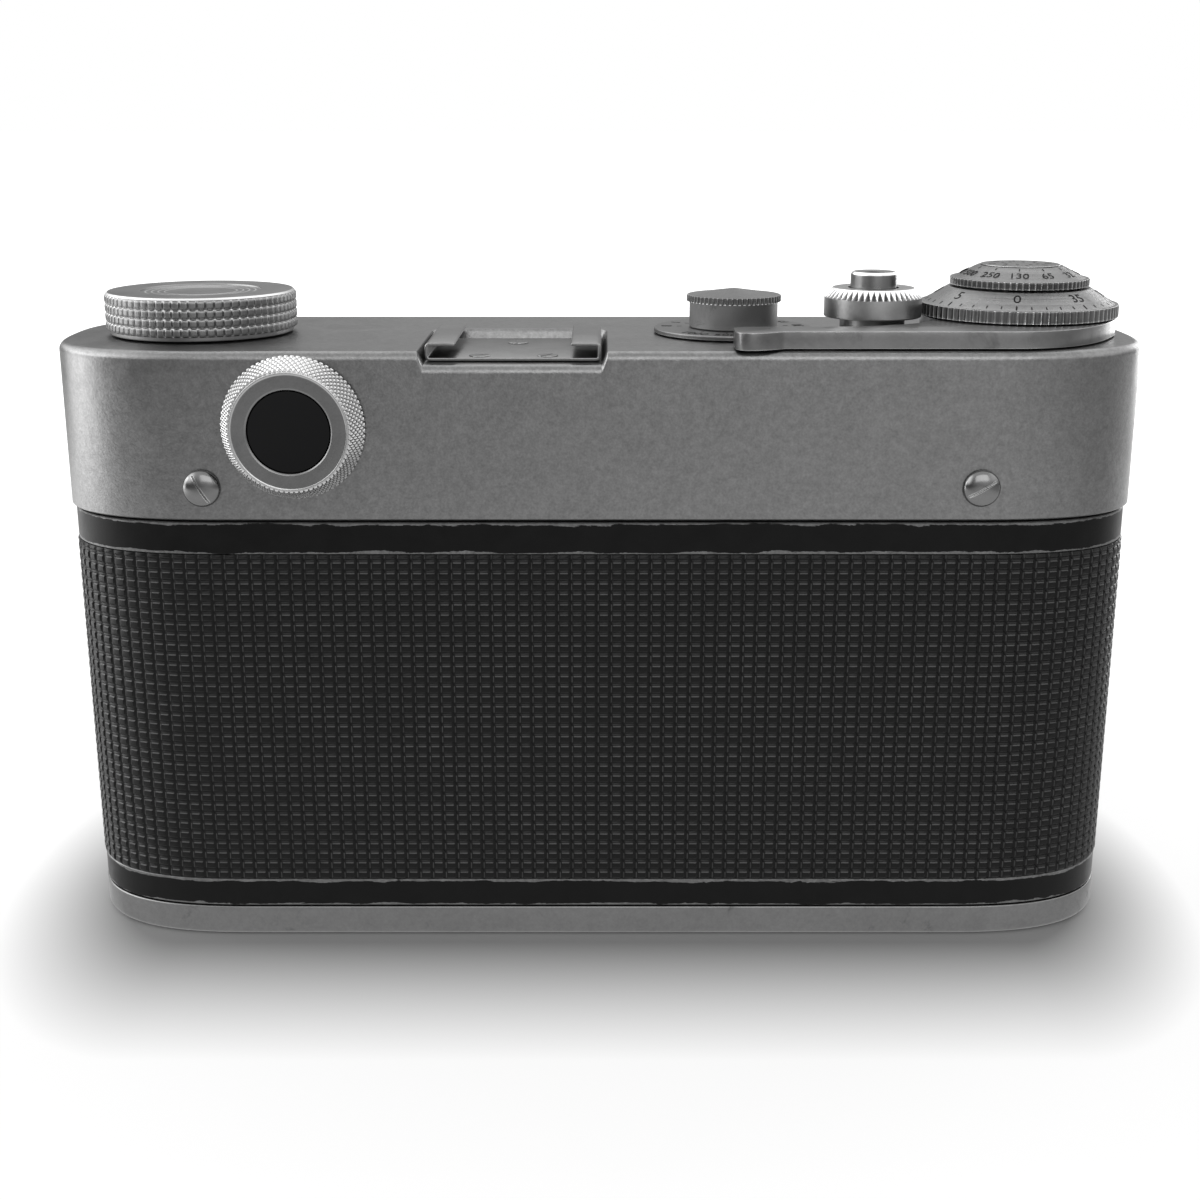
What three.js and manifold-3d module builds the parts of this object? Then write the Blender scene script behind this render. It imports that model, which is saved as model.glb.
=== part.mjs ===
// A 35 mm rangefinder camera as its separate pieces. Millimetres, +Z up.
// The lens looks along +Y, the back faces -Y and the film advance is at the +X end.
// The origin is the centre of the underside of the base plate.
import * as THREE from "three";
import { mergeVertices } from "three/addons/utils/BufferGeometryUtils.js";
import Module from "manifold-3d";

const wasm = await Module();
wasm.setup();

// Clearances
const runningGap = 0.3; // round a turning or sliding piece
const seatGap = 0.1; // between pieces that are screwed or pressed together
const backGap = 0.4; // between the casting and the back that slides off it
const past = 1; // how far a cut runs past the face it opens

// Facets on a full circle
const fewFacets = 12;
const someFacets = 16;
const manyFacets = 28;

// Film and optics
const cassetteRadius = 12.5;
const cassetteClearance = 0.8;
const gateWidth = 36;
const gateHeight = 24;
const registerDistance = 28.8; // film plane to lens flange
const sprocketTeeth = 8;
const perforationPitch = 4.75;
const perforationRows = 28.2; // between the film's two rows of holes

// Casing
const backSpace = 9.2; // film plane to the rear face
const flangeProud = 0.5; // lens flange in front of the front face
const endReach = 24.5; // length of each rounded end
const endSquareness = 2.8; // exponent of the rounded ends' superellipse
const endSteps = 7; // facets on a quarter of an end
const shellInset = 0.45; // painted shells behind the top cover's face
const shellWall = 1.2;
const coveringInset = 0.3;
const coveringThickness = 0.45;
const baseInset = 0.35;
const baseHeight = 4.1;
const baseFloor = 2.6;
const baseWall = 1.3;
const baseRounding = 1;
const shellBottomGap = 0.15;
const lowerBand = 3.85; // painted strip between the base plate and the covering
const upperBand = 4.05; // painted strip between the covering and the top cover
const coverWall = 0.9;
const coverTop = 1;
const coverHeight = 20.7;
const coverRounding = 1.3;
const coverLineGap = 0.4; // dark line under the top cover
const splitY = 6; // seam between the fixed front and the removable back

// Casting
const castingFloor = 2;
const castingGapBelow = 1.1;
const chamberHeight = 45.8;
const castingCeiling = 3;
const deckThickness = 1.5;
const deckGap = 0.3;
const cassetteEndWall = 1.95;
const takeUpEndWall = 1.25;
const rollerRadius = 2.8;
const rollerPocketWall = 1.2;
const drumRadius = 6.2;
const drumPocketGap = 1;
const drumWall = 2.4;
const sprocketWall = 2.45;
const gateWallThickness = 1.8;
const curtainThickness = 0.2;
const curtainMargin = 4.5; // cloth beyond the gate's height, at each side
const curtainRoom = 1.2; // from the cloth to the wall in front of it
const lightBoxMargin = 2; // light box beyond the gate's height, at each side
const armRoom = 4; // round the rangefinder arm
const lugHalfWidth = 3;
const lugLength = 3;
const lugAboveScrew = 2.5;
const lugHole = 1.2;

// Winding train
const gearModule = 0.5;
const gearThickness = 2;
const windTeeth = 36;
const spindleTeeth = 16;
const windIdlerTeeth = 20;
const shutterIdlerTeeth = 22;
const takeUpIdlerTeeth = 24;
const gearDeckGap = 3; // from the deck to the lowest wheels
const gearLevelStep = 4; // the other wheels stand a step above each other
const spindleRadius = 2.5;
const idlerAxleRadius = 1;
const spindlePin = 1.3; // casting left under the spindles' lower ends
const shaftEnd = 0.5; // shaft above its topmost wheel
const takeUpFlangeRadius = 10.5;
const takeUpCoreRadius = 5.5;
const takeUpClearance = 1;
const spoolEndGap = 2.5; // between the chamber's ends and the spool
const spoolFlange = 1.2;
const sprocketToothHeight = 1.2;
const sprocketToothWidth = 2;
const sprocketRim = 4.8;
const sprocketWaist = 1.6; // core inside the rims
const sprocketPocketGap = 0.6;

// Controls on the top
const rewindRadius = 12.15;
const rewindHeight = 5.4;
const rewindRim = 0.6;
const rewindRecessRadius = 7.6;
const rewindGrooveRadius = 5.2;
const rewindRecessDepth = 0.7;
const rewindCrown = 1.8; // metal over the shaft's end
const rewindForkSlot = 3; // width and depth of the slot that takes the cassette's key
const rewindForkDrop = 0.5; // fork below the chamber's top
const rewindShaftRadius = 2;
const rewindForkRadius = 3.6;
const rewindForkLength = 8;
const rewindWasherRadius = 8.5;
const washerThickness = 0.6;
const controlGap = 0.2; // between the top plate and what turns on it
const speedCapRadius = 6.1;
const speedCapThickness = 0.85;
const speedCapCone = 0.8;
const speedDrumRadius = 5.7;
const speedDrumHeight = 3.3;
const speedDiscRadius = 10.3;
const speedDiscThickness = 0.55;
const collarRadius = 6.18;
const collarStemRadius = 4.12;
const collarStemHeight = 2.35;
const collarDrumHeight = 2.6;
const collarChamfer = 1.05;
const buttonRadius = 2.92;
const buttonProud = 1.65;
const buttonRodRadius = 1.2;
const buttonRodLength = 16;
const buttonTravel = 2;
const buttonDish = 0.35;
const cableHoleRadius = 0.9;
const cableHoleDepth = 2.2;
const springSolid = 1; // length of the release spring when it's pressed flat
const springWall = 0.9;
const leverThickness = 2.1;
const leverHubRadius = 12.4;
const leverArmOuter = 17.6; // pivot to the arm's outer edge
const leverArmWidth = 4.8;
const leverReach = 38.2; // pivot to the tip, along the body
const leverTipHook = 1.7;
const leverTipLength = 6;
const leverTipRound = 0.7;
const leverBend = 4; // how far the arm's bend reaches each side of the pivot
const leverCollarGap = 1.2; // lever round the rewind collar
const counterRimRadius = 12.65;
const counterRimHeight = 1.6;
const counterConeTop = 9.3;
const counterConeHeight = 1.5;
const reminderRimRadius = 8.8;
const reminderRimHeight = 1;
const reminderTopRadius = 5.05;
const reminderConeHeight = 2;
const reminderCapHeight = 0.2;
const reminderCrown = 0.6; // metal over the shaft's end
const rimFlutes = 30;
const fluteDepth = 0.35;
const coneSetIn = 0.5; // cone's foot inside the fluted rim
const dialGap = 0.15; // between the stacked dials

// Accessory shoe, in a recess that runs out through the rear edge
const shoeOffset = 0.3; // from the lens axis
const recessWidth = 22.5;
const recessDepth = 1.6;
const recessBackY = 3.2;
const shoeWidth = 21;
const shoeLength = 18.4;
const shoeSheet = 0.42;
const shoeHeight = 2.15;
const shoeLipWidth = 3.7;
const shoeFromRear = 2.75;
const shoeScrewRadius = 1.3;
const shoeScrewHead = 0.3;
const shoeScrewSlot = 0.3;
const shoeScrewSpread = 8.3;
const shoeScrewRear = 1.8; // rear screws from the shoe's rear end
const shoeScrewMiddle = 14; // the third screw

// Eyepiece and windows
const eyepieceFromRewind = 14.5;
const eyepieceBelowTop = 9.1;
const dioptreBaseRadius = 8.45;
const dioptreFaceRadius = 7.2;
const dioptreHeight = 3.7;
const eyepieceGlassRadius = 5.05;
const eyepieceTubeWall = 1;
const tubeFlange = 1;
const dioptreLip = 1.4; // ring in front of the tube's end
const dioptreShoulder = 0.35; // share of the ring's height
const dioptreChamfer = 0.3;
const eyepieceGlassInset = 0.3;
const rangefinderBase = 38;
const finderWidth = 13;
const finderHeight = 9;
const rangefinderWindowRadius = 3.2;
const windowThickness = 0.8;

// Screws on the cover's rear face
const coverScrewRadius = 2.3;
const coverScrewDome = 1.1;
const coverScrewHeight = 4.05; // above the cover's lower edge
const coverScrewLeft = 2.9; // from the rewind axis towards the middle
const coverScrewRight = 7.45; // from the advance axis towards the middle
const coverScrewSlot = 0.5;
const coverScrewTurn = { left: Math.PI / 3, right: -Math.PI / 6 };
const screwShankRadius = 0.9;
const screwShankLength = 3.2;

// Lens
const mountBore = 19.5;
const mountRingWidth = 1.5;
const mountRingThickness = 2.4;
const bayonetWall = 1.9; // lens base's neck inside the mount
const lensTubeWall = 1.5;
const lensBaseWall = 3.4;
const lensBaseLength = 11.5;
const bayonetDepth = 4;
const focusRingInset = 0.9; // from the flange to the focus ring
const apertureRingGap = 0.8;
const focusRingWall = 3.7;
const focusRingLength = 10;
const apertureRingWall = 4;
const apertureRingLength = 4;
const lensHeadFlange = 2.8; // lens head beyond the tube
const lensHeadWall = 3.4;
const lensHeadLength = 9.5;
const lensHeadChamfer = 0.6;
const lensSeat = 1.6;
const lensHeadStep = 4;
const frontGlassEdge = 1.2;
const frontGlassBulge = 1.4;
const rearGlassEdge = 2.5;
const rearGlassBulge = 1;
const rearGlassInset = 1;
const glassInset = 0.2;
const retainingRingWidth = 2.4;
const retainingRingHeight = 1.2;
const lensBehindFlange = 6.2;
const tubeRoom = 2; // behind the lens
const rangefinderArmY = 8;
const rangefinderArmThickness = 1.5;
const mirrorSize = 7;
const mirrorThickness = 1;
const splitterWidth = 9.8;
const splitterHeight = 9.1;
const splitterY = 2;
const splitterFoot = 3;

// Front fittings
const timerFromLens = 48.5;
const timerAboveLens = 9;
const timerLeverLength = 19;
const timerHubRadius = 5;
const timerProud = 2.6;
const timerChamfer = 0.5;
const timerBlade = 1.7;
const timerRootHalf = 3.2;
const timerTipRadius = 2.4;
const syncRadius = 3;
const syncFromLens = 31;
const syncAboveLens = 17;
const syncProud = 1.6;
const syncShoulder = 0.6;
const syncDepth = 1.4;
const syncBore = 1;

// Base fittings
const keyFromEnd = 18;
const keyRadius = 8.1;
const keyRecess = 1.6;
const keyShaftRadius = 2.2;
const keyShaftProud = 0.6; // above the base plate's rim
const keyHookLength = 7;
const keyHookWidth = 3;
const flapRadius = 6.6;
const flapThickness = 0.75;
const tripodThreadRadius = 3.3;
const tripodBushRadius = 6;
const tripodBushHeight = 8.6;
const tripodDepth = 7.4;
const pressurePlateWidth = 42;
const pressurePlateHeight = 30;
const pressurePlateThickness = 0.7;
const filmGap = 0.4;
const pressureTravel = 0.5;
const leafSpringLength = 30.2;
const leafSpringWidth = 7.5;
const leafSpringSheet = 0.3;

// Sizes that follow from the ones above
const bodyDepth = backSpace + registerDistance - flangeProud;
const rearY = -bodyDepth / 2;
const filmY = rearY + backSpace;
const flangeY = filmY + registerDistance;
const shellInner = shellInset + shellWall;
const castingInset = shellInner + backGap;
const cassetteChamber = cassetteRadius + cassetteClearance;
const takeUpChamber = takeUpFlangeRadius + takeUpClearance;
const sprocketRadius = (sprocketTeeth * perforationPitch) / (2 * Math.PI);
const sprocketPocket = sprocketRadius + sprocketToothHeight + sprocketPocketGap;
const drumPocket = drumRadius + drumPocketGap;
const rollerPocket = rollerRadius + rollerPocketWall;
const lightBoxHalf = gateWidth / 2 + runningGap;
const mountRingRadius = mountBore + mountRingWidth;
const lensTubeRadius = mountBore - seatGap - bayonetWall - runningGap;
const lensHeadRadius = lensTubeRadius + lensHeadFlange;
const lensHeadBore = lensHeadRadius - lensHeadWall;

// The chambers stand in a row from one end to the other, and their sum is the body's length.
const endToRewind = castingInset + cassetteEndWall + cassetteChamber;
const rewindToLens = cassetteChamber + rollerPocketWall + 2 * rollerPocket + lightBoxHalf;
const lensToDrum = lightBoxHalf + drumWall + runningGap + drumPocket;
const drumToSprocket = drumPocket + sprocketWall + sprocketPocket;
const sprocketToTakeUp = sprocketPocket + takeUpChamber;
const takeUpToEnd = takeUpChamber + takeUpEndWall + castingInset;
const bodyLength =
  endToRewind + rewindToLens + lensToDrum + drumToSprocket + sprocketToTakeUp + takeUpToEnd;
const rewindX = -bodyLength / 2 + endToRewind;
const lensX = rewindX + rewindToLens;
const drumX = lensX + lensToDrum;
const sprocketX = drumX + drumToSprocket;
const sprocketY = filmY + sprocketRadius;
const takeUpX = sprocketX + sprocketToTakeUp;
const eyepieceX = rewindX + eyepieceFromRewind;
const rangefinderX = eyepieceX + rangefinderBase;
const shoeX = lensX + shoeOffset;

const castingBottom = baseHeight + castingGapBelow;
const chamberBottom = castingBottom + castingFloor;
const chamberTop = chamberBottom + chamberHeight;
const castingTop = chamberTop + castingCeiling;
const coverBottom = castingTop + shellInset;
const deckTop = castingTop + deckThickness;
const topZ = coverBottom + coverHeight;
const lensZ = chamberBottom + chamberHeight / 2;
const eyepieceZ = topZ - eyepieceBelowTop;
const shellBottom = baseHeight + shellBottomGap;
const shellTop = coverBottom - coverLineGap;
const coveringBottom = baseHeight + lowerBand;
const coveringTop = shellTop - upperBand;

// Materials, one for each finish
function finish(color, roughness, metalness) {
  return new THREE.MeshStandardMaterial({ color, roughness, metalness });
}
const satinChrome = finish(0x8a8a8a, 0.38, 0.9);
const darkSteel = finish(0x6b6b6b, 0.4, 0.9);
const brightSteel = finish(0xb0b0b0, 0.25, 0.95);
const blackPaint = finish(0x191919, 0.35, 0.3);
const covering = finish(0x1c1c1c, 0.6, 0);
const castAlloy = finish(0x3a3a3a, 0.6, 0.6);
const brass = finish(0xa58a4c, 0.35, 0.9);
const glass = finish(0x101418, 0.05, 0);
const mirror = finish(0xc8ccd0, 0.05, 1);
const cloth = finish(0x141414, 0.9, 0);

// Solids
function solid(geometry) {
  const bare = geometry.clone();
  bare.deleteAttribute("normal");
  bare.deleteAttribute("uv");
  const merged = mergeVertices(bare, 1e-4);
  const triVerts = new Uint32Array(merged.index.array);
  const vertProperties = new Float32Array(merged.attributes.position.array);
  const make = () => new wasm.Manifold(new wasm.Mesh({ numProp: 3, vertProperties, triVerts }));
  const made = make();
  if (made.volume() > 0) return made;
  for (let i = 0; i < triVerts.length; i += 3) {
    [triVerts[i + 1], triVerts[i + 2]] = [triVerts[i + 2], triVerts[i + 1]];
  }
  return make();
}
const join = (first, ...rest) => rest.reduce((sum, next) => sum.add(next), first);
const cut = (first, ...rest) => rest.reduce((sum, next) => sum.subtract(next), first);

function geometryOf(made) {
  const mesh = made.getMesh();
  const geometry = new THREE.BufferGeometry();
  const count = mesh.vertProperties.length / mesh.numProp;
  const position = new Float32Array(count * 3);
  for (let i = 0; i < count; i++) {
    for (let k = 0; k < 3; k++) position[3 * i + k] = mesh.vertProperties[mesh.numProp * i + k];
  }
  geometry.setAttribute("position", new THREE.BufferAttribute(position, 3));
  geometry.setIndex(new THREE.BufferAttribute(new Uint32Array(mesh.triVerts), 1));
  geometry.computeVertexNormals();
  return geometry;
}

function box(x0, x1, y0, y1, z0, z1) {
  const geometry = new THREE.BoxGeometry(x1 - x0, y1 - y0, z1 - z0);
  return solid(geometry.translate((x0 + x1) / 2, (y0 + y1) / 2, (z0 + z1) / 2));
}

// A round bar about a vertical axis.
function bar(radius, z0, z1, x, y, segments = someFacets) {
  const geometry = new THREE.CylinderGeometry(radius, radius, z1 - z0, segments);
  return solid(geometry.rotateX(Math.PI / 2).translate(x, y, (z0 + z1) / 2));
}

// A turned piece about a vertical axis, from [radius, height] points.
function turned(profile, x = 0, y = 0, segments = manyFacets) {
  const points = profile.map(([radius, height]) => new THREE.Vector2(radius, height));
  const geometry = new THREE.LatheGeometry(points, segments);
  return solid(geometry.rotateX(Math.PI / 2).translate(x, y, 0));
}

// The same about an axis along +Y, or along -Y when facing is -1.
function turnedForward(profile, x, z, facing = 1, segments = manyFacets) {
  const points = profile.map(([radius, reach]) => new THREE.Vector2(radius, reach * facing));
  const geometry = new THREE.LatheGeometry(points, segments);
  return solid(geometry.translate(x, 0, z));
}

function ringProfile(inner, outer, low, high) {
  return [[inner, low], [outer, low], [outer, high], [inner, high], [inner, low]];
}

function prism(shape, z0, z1) {
  const options = { depth: z1 - z0, bevelEnabled: false, curveSegments: 8 };
  return solid(new THREE.ExtrudeGeometry(shape, options).translate(0, 0, z0));
}

// The plan of the body: straight sides and superellipse ends, brought in by an inset.
function planPoints(inset) {
  const halfLength = bodyLength / 2 - inset;
  const halfDepth = bodyDepth / 2 - inset;
  const reach = endReach - inset;
  const points = [];
  for (const side of [1, -1]) {
    for (let i = 0; i <= 2 * endSteps; i++) {
      const angle = -Math.PI / 2 + (i * Math.PI) / (2 * endSteps);
      const across = Math.abs(Math.cos(angle)) ** (2 / endSquareness);
      const along = Math.abs(Math.sin(angle)) ** (2 / endSquareness) * Math.sign(Math.sin(angle));
      const x = halfLength - reach + reach * across;
      points.push(new THREE.Vector2(side * x, side * halfDepth * along));
    }
  }
  return points;
}
const planShape = (inset) => new THREE.Shape(planPoints(inset));
const planSlab = (inset, z0, z1) => prism(planShape(inset), z0, z1);

// A wall that follows the plan between two insets.
function planWall(outerInset, innerInset, z0, z1) {
  const shape = planShape(outerInset);
  shape.holes.push(new THREE.Path(planPoints(innerInset).reverse()));
  return prism(shape, z0, z1);
}

// A slab of the plan with both its edges rounded.
function roundedSlab(inset, z0, z1, rounding) {
  const options = {
    depth: z1 - z0 - 2 * rounding,
    bevelEnabled: true,
    bevelSize: rounding,
    bevelThickness: rounding,
    bevelSegments: 2,
  };
  const geometry = new THREE.ExtrudeGeometry(planShape(inset + rounding), options);
  return solid(geometry.translate(0, 0, z0 + rounding));
}

const wide = bodyLength + bodyDepth; // reaches past the body on every side

// Toothed wheels
const pitchRadius = (teeth) => (gearModule * teeth) / 2;

function gearWheel(teeth, phase, x, y, z) {
  const step = (2 * Math.PI) / teeth;
  const tip = pitchRadius(teeth) + 0.9 * gearModule;
  const root = pitchRadius(teeth) - 1.15 * gearModule;
  const flank = [[root, -0.27], [tip, -0.1], [tip, 0.1], [root, 0.27]];
  const points = [];
  for (let tooth = 0; tooth < teeth; tooth++) {
    for (const [radius, offset] of flank) {
      const angle = phase + (tooth + offset) * step;
      points.push(new THREE.Vector2(x + radius * Math.cos(angle), y + radius * Math.sin(angle)));
    }
  }
  return prism(new THREE.Shape(points), z, z + gearThickness);
}

// Where an idler stands so that it meshes with two wheels; side picks one of the two places.
function idlerPlace(first, second, firstTeeth, idlerTeeth, secondTeeth, side) {
  const toFirst = pitchRadius(firstTeeth) + pitchRadius(idlerTeeth);
  const toSecond = pitchRadius(secondTeeth) + pitchRadius(idlerTeeth);
  const dx = second.x - first.x;
  const dy = second.y - first.y;
  const span = Math.hypot(dx, dy);
  const along = (toFirst ** 2 - toSecond ** 2 + span ** 2) / (2 * span);
  const off = side * Math.sqrt(Math.max(toFirst ** 2 - along ** 2, 0));
  return {
    x: first.x + (along * dx - off * dy) / span,
    y: first.y + (along * dy + off * dx) / span,
  };
}

// The phase that puts a gap of the driven wheel on the driver's tooth at their point of contact.
function meshPhase(driver, driverTeeth, driverPhase, driven, drivenTeeth) {
  const toward = Math.atan2(driven.y - driver.y, driven.x - driver.x);
  const driverStep = (2 * Math.PI) / driverTeeth;
  const drivenStep = (2 * Math.PI) / drivenTeeth;
  const steps = Math.round((toward - driverPhase) / driverStep);
  const arc = (driverPhase + steps * driverStep - toward) * pitchRadius(driverTeeth);
  return toward + Math.PI - arc / pitchRadius(drivenTeeth) + drivenStep / 2;
}

const camera = new THREE.Group();

function piece(name, made, material) {
  const mesh = new THREE.Mesh(geometryOf(made), material);
  mesh.name = name;
  camera.add(mesh);
}

// A round hole from the front, down to a depth along Y.
function frontHole(radius, rear, x, z, segments = manyFacets) {
  const front = flangeY + past;
  return turnedForward([[0, rear], [radius, rear], [radius, front], [0, front]], x, z, 1, segments);
}
const mountHole = (radius, rear) => frontHole(radius, rear, lensX, lensZ);

// A round hole through the rear wall of the top cover.
function rearHole(radius, x, z, segments = manyFacets) {
  const rear = rearY - past;
  const front = rearY + coverWall + past;
  return turnedForward([[0, rear], [radius, rear], [radius, front], [0, front]], x, z, 1, segments);
}

// Casting: film chambers, gate, light box and the deck under the top cover
const drumY = 0;
const rollerX = rewindX + cassetteChamber + rollerPocketWall + rollerPocket;
const rollerY = -drumRadius + rollerRadius;
const curtainY = -drumRadius - 2 * curtainThickness;
const slotFront = curtainY + curtainRoom;
const slotRear = filmY + gateWallThickness;
const lensTubeRear = flangeY - lensBehindFlange;
const armZ = lensZ + lensTubeRadius - lensTubeWall;
const lugZ = coverBottom + coverScrewHeight;
const screwX = { left: rewindX + coverScrewLeft, right: takeUpX - coverScrewRight };
const wind = { x: takeUpX, y: 0 };
const spindle = { x: sprocketX, y: sprocketY };
const drum = { x: drumX, y: drumY };
const windIdler = idlerPlace(spindle, wind, spindleTeeth, windIdlerTeeth, windTeeth, 1);
const shutterIdler = idlerPlace(spindle, drum, spindleTeeth, shutterIdlerTeeth, spindleTeeth, -1);
const takeUpIdler = idlerPlace(spindle, wind, spindleTeeth, takeUpIdlerTeeth, spindleTeeth, -1);
const gearLevel = deckTop + gearDeckGap;
const spindleHole = spindleRadius + runningGap;
const axleHole = idlerAxleRadius + runningGap;
const pinBottom = castingBottom + spindlePin;

function bodyCasting() {
  const rear = -wide;
  const pockets = [
    box(-wide, wide, rear, filmY, castingBottom - past, chamberTop),
    bar(cassetteChamber, chamberBottom, chamberTop, rewindX, 0, manyFacets),
    box(rewindX - cassetteChamber, rewindX + cassetteChamber, rear, 0, chamberBottom, chamberTop),
    bar(takeUpChamber, chamberBottom, chamberTop, takeUpX, 0, manyFacets),
    box(takeUpX - takeUpChamber, takeUpX + takeUpChamber, rear, 0, chamberBottom, chamberTop),
    bar(sprocketPocket, chamberBottom, chamberTop, sprocketX, sprocketY),
    bar(drumPocket, chamberBottom, chamberTop, drumX, drumY),
    bar(rollerPocket, chamberBottom, chamberTop, rollerX, rollerY),
    box(rollerX, drumX, slotRear, slotFront, chamberBottom, chamberTop),
    box(
      lensX - gateWidth / 2, lensX + gateWidth / 2,
      filmY - past, slotRear + past,
      lensZ - gateHeight / 2, lensZ + gateHeight / 2,
    ),
    box(
      lensX - lightBoxHalf, lensX + lightBoxHalf,
      slotFront - past, lensTubeRear,
      lensZ - gateHeight / 2 - lightBoxMargin, lensZ + gateHeight / 2 + lightBoxMargin,
    ),
    mountHole(mountBore, lensTubeRear - tubeRoom),
    box(
      lensX - armRoom, rangefinderX + armRoom,
      rangefinderArmY - armRoom, flangeY,
      armZ - armRoom / 2, armZ + rangefinderArmThickness + armRoom / 2,
    ),
    bar(
      tripodBushRadius + backGap, castingBottom - past, tripodBushHeight + backGap,
      lensX, 0,
    ),
    bar(spindleHole, pinBottom - runningGap, deckTop + past, sprocketX, sprocketY),
    bar(spindleHole, pinBottom - runningGap, deckTop + past, takeUpX, 0),
    bar(spindleHole, pinBottom - runningGap, deckTop + past, drumX, drumY),
    bar(rewindForkRadius + runningGap, chamberTop - past, deckTop + past, rewindX, 0),
    bar(axleHole, armZ, deckTop + past, rangefinderX, rangefinderArmY, fewFacets),
  ];
  for (const idler of [windIdler, shutterIdler, takeUpIdler]) {
    pockets.push(bar(axleHole, castingTop, deckTop + past, idler.x, idler.y, fewFacets));
  }
  const lugs = Object.values(screwX).map((x) => {
    const face = rearY + coverWall + runningGap;
    return cut(
      box(
        x - lugHalfWidth, x + lugHalfWidth, face, face + lugLength,
        shellTop + deckGap, lugZ + lugAboveScrew,
      ),
      box(x - lugHole, x + lugHole, rear, face + screwShankLength, lugZ - lugHole, lugZ + lugHole),
    );
  });
  const block = join(
    planSlab(castingInset, castingBottom, deckTop),
    planSlab(coverWall + deckGap, shellTop + deckGap, deckTop),
    ...lugs,
  );
  return cut(block, ...pockets);
}
piece("body_casting", bodyCasting(), castAlloy);

// Shutter curtain across the gate
piece(
  "shutter_curtain",
  box(
    rollerX, drumX - 1,
    curtainY - curtainThickness / 2, curtainY + curtainThickness / 2,
    lensZ - gateHeight / 2 - curtainMargin, lensZ + gateHeight / 2 + curtainMargin,
  ),
  cloth,
);

// Top cover with its shoe recess, windows and holes for the controls
const recessFloor = topZ - recessDepth;

function topCover() {
  const outer = cut(
    roundedSlab(0, coverBottom - 3 * coverRounding, topZ, coverRounding),
    box(-wide, wide, -wide, wide, 0, coverBottom),
  );
  const underRecess = box(
    shoeX - recessWidth / 2 - coverTop, shoeX + recessWidth / 2 + coverTop,
    -wide, recessBackY + coverTop,
    recessFloor - coverTop, topZ,
  );
  const cavity = cut(planSlab(coverWall, coverBottom - past, topZ - coverTop), underRecess);
  const recess = box(
    shoeX - recessWidth / 2, shoeX + recessWidth / 2,
    -wide, recessBackY,
    recessFloor, topZ + past,
  );
  const through = topZ - coverTop - past;
  const controlHoles = [
    bar(rewindForkRadius + runningGap, through, topZ + past, rewindX, 0),
    bar(spindleHole, through, topZ + past, drumX, drumY),
    bar(buttonRodRadius + runningGap, through, topZ + past, sprocketX, sprocketY, fewFacets),
    bar(spindleHole, through, topZ + past, takeUpX, 0),
  ];
  const frontInside = bodyDepth / 2 - coverWall - past;
  const finderHole = box(
    eyepieceX - finderWidth / 2, eyepieceX + finderWidth / 2,
    frontInside, wide,
    eyepieceZ - finderHeight / 2, eyepieceZ + finderHeight / 2,
  );
  const screwHoles = Object.values(screwX).map((x) =>
    rearHole(screwShankRadius + seatGap, x, lugZ, fewFacets),
  );
  return cut(
    outer, cavity, recess, ...controlHoles, finderHole,
    frontHole(rangefinderWindowRadius, frontInside, rangefinderX, eyepieceZ, someFacets),
    rearHole(eyepieceGlassRadius + eyepieceTubeWall + seatGap, eyepieceX, eyepieceZ),
    ...screwHoles,
  );
}
piece("top_cover", topCover(), satinChrome);

// Windows in the front of the cover
const windowRear = bodyDepth / 2 - coverWall;
piece(
  "viewfinder_window",
  box(
    eyepieceX - finderWidth / 2 + seatGap, eyepieceX + finderWidth / 2 - seatGap,
    windowRear, windowRear + windowThickness,
    eyepieceZ - finderHeight / 2 + seatGap, eyepieceZ + finderHeight / 2 - seatGap,
  ),
  glass,
);
piece(
  "rangefinder_window",
  turnedForward(
    [[0, windowRear], [rangefinderWindowRadius - seatGap, windowRear],
      [rangefinderWindowRadius - seatGap, windowRear + windowThickness],
      [0, windowRear + windowThickness]],
    rangefinderX, eyepieceZ, 1, someFacets,
  ),
  glass,
);

// Beam splitter in the finder, on a foot that stands on the deck
function beamSplitter() {
  const plate = new THREE.BoxGeometry(splitterWidth, mirrorThickness, splitterHeight);
  plate.rotateZ(-Math.PI / 4).translate(eyepieceX, splitterY, eyepieceZ);
  const foot = box(
    eyepieceX - splitterFoot / 2, eyepieceX + splitterFoot / 2,
    splitterY - splitterFoot / 2, splitterY + splitterFoot / 2,
    deckTop + seatGap, eyepieceZ - splitterFoot,
  );
  return join(solid(plate), foot);
}
piece("beam_splitter", beamSplitter(), mirror);

// Accessory shoe, folded from one sheet, and its three screws
const shoeBottom = recessFloor + seatGap;
const shoeRear = rearY + shoeFromRear;

function accessoryShoe() {
  const half = shoeWidth / 2;
  const top = shoeBottom + shoeHeight;
  const shape = new THREE.Shape([
    new THREE.Vector2(-half, 0),
    new THREE.Vector2(half, 0),
    new THREE.Vector2(half, shoeHeight),
    new THREE.Vector2(half - shoeLipWidth, shoeHeight),
    new THREE.Vector2(half - shoeLipWidth, shoeHeight - shoeSheet),
    new THREE.Vector2(half - shoeSheet, shoeHeight - shoeSheet),
    new THREE.Vector2(half - shoeSheet, shoeSheet),
    new THREE.Vector2(-half + shoeSheet, shoeSheet),
    new THREE.Vector2(-half + shoeSheet, shoeHeight - shoeSheet),
    new THREE.Vector2(-half + shoeLipWidth, shoeHeight - shoeSheet),
    new THREE.Vector2(-half + shoeLipWidth, shoeHeight),
    new THREE.Vector2(-half, shoeHeight),
  ]);
  const geometry = new THREE.ExtrudeGeometry(shape, { depth: shoeLength, bevelEnabled: false });
  geometry.rotateX(Math.PI / 2).translate(shoeX, shoeRear + shoeLength, top - shoeHeight);
  return solid(geometry);
}
piece("accessory_shoe", accessoryShoe(), satinChrome);

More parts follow.
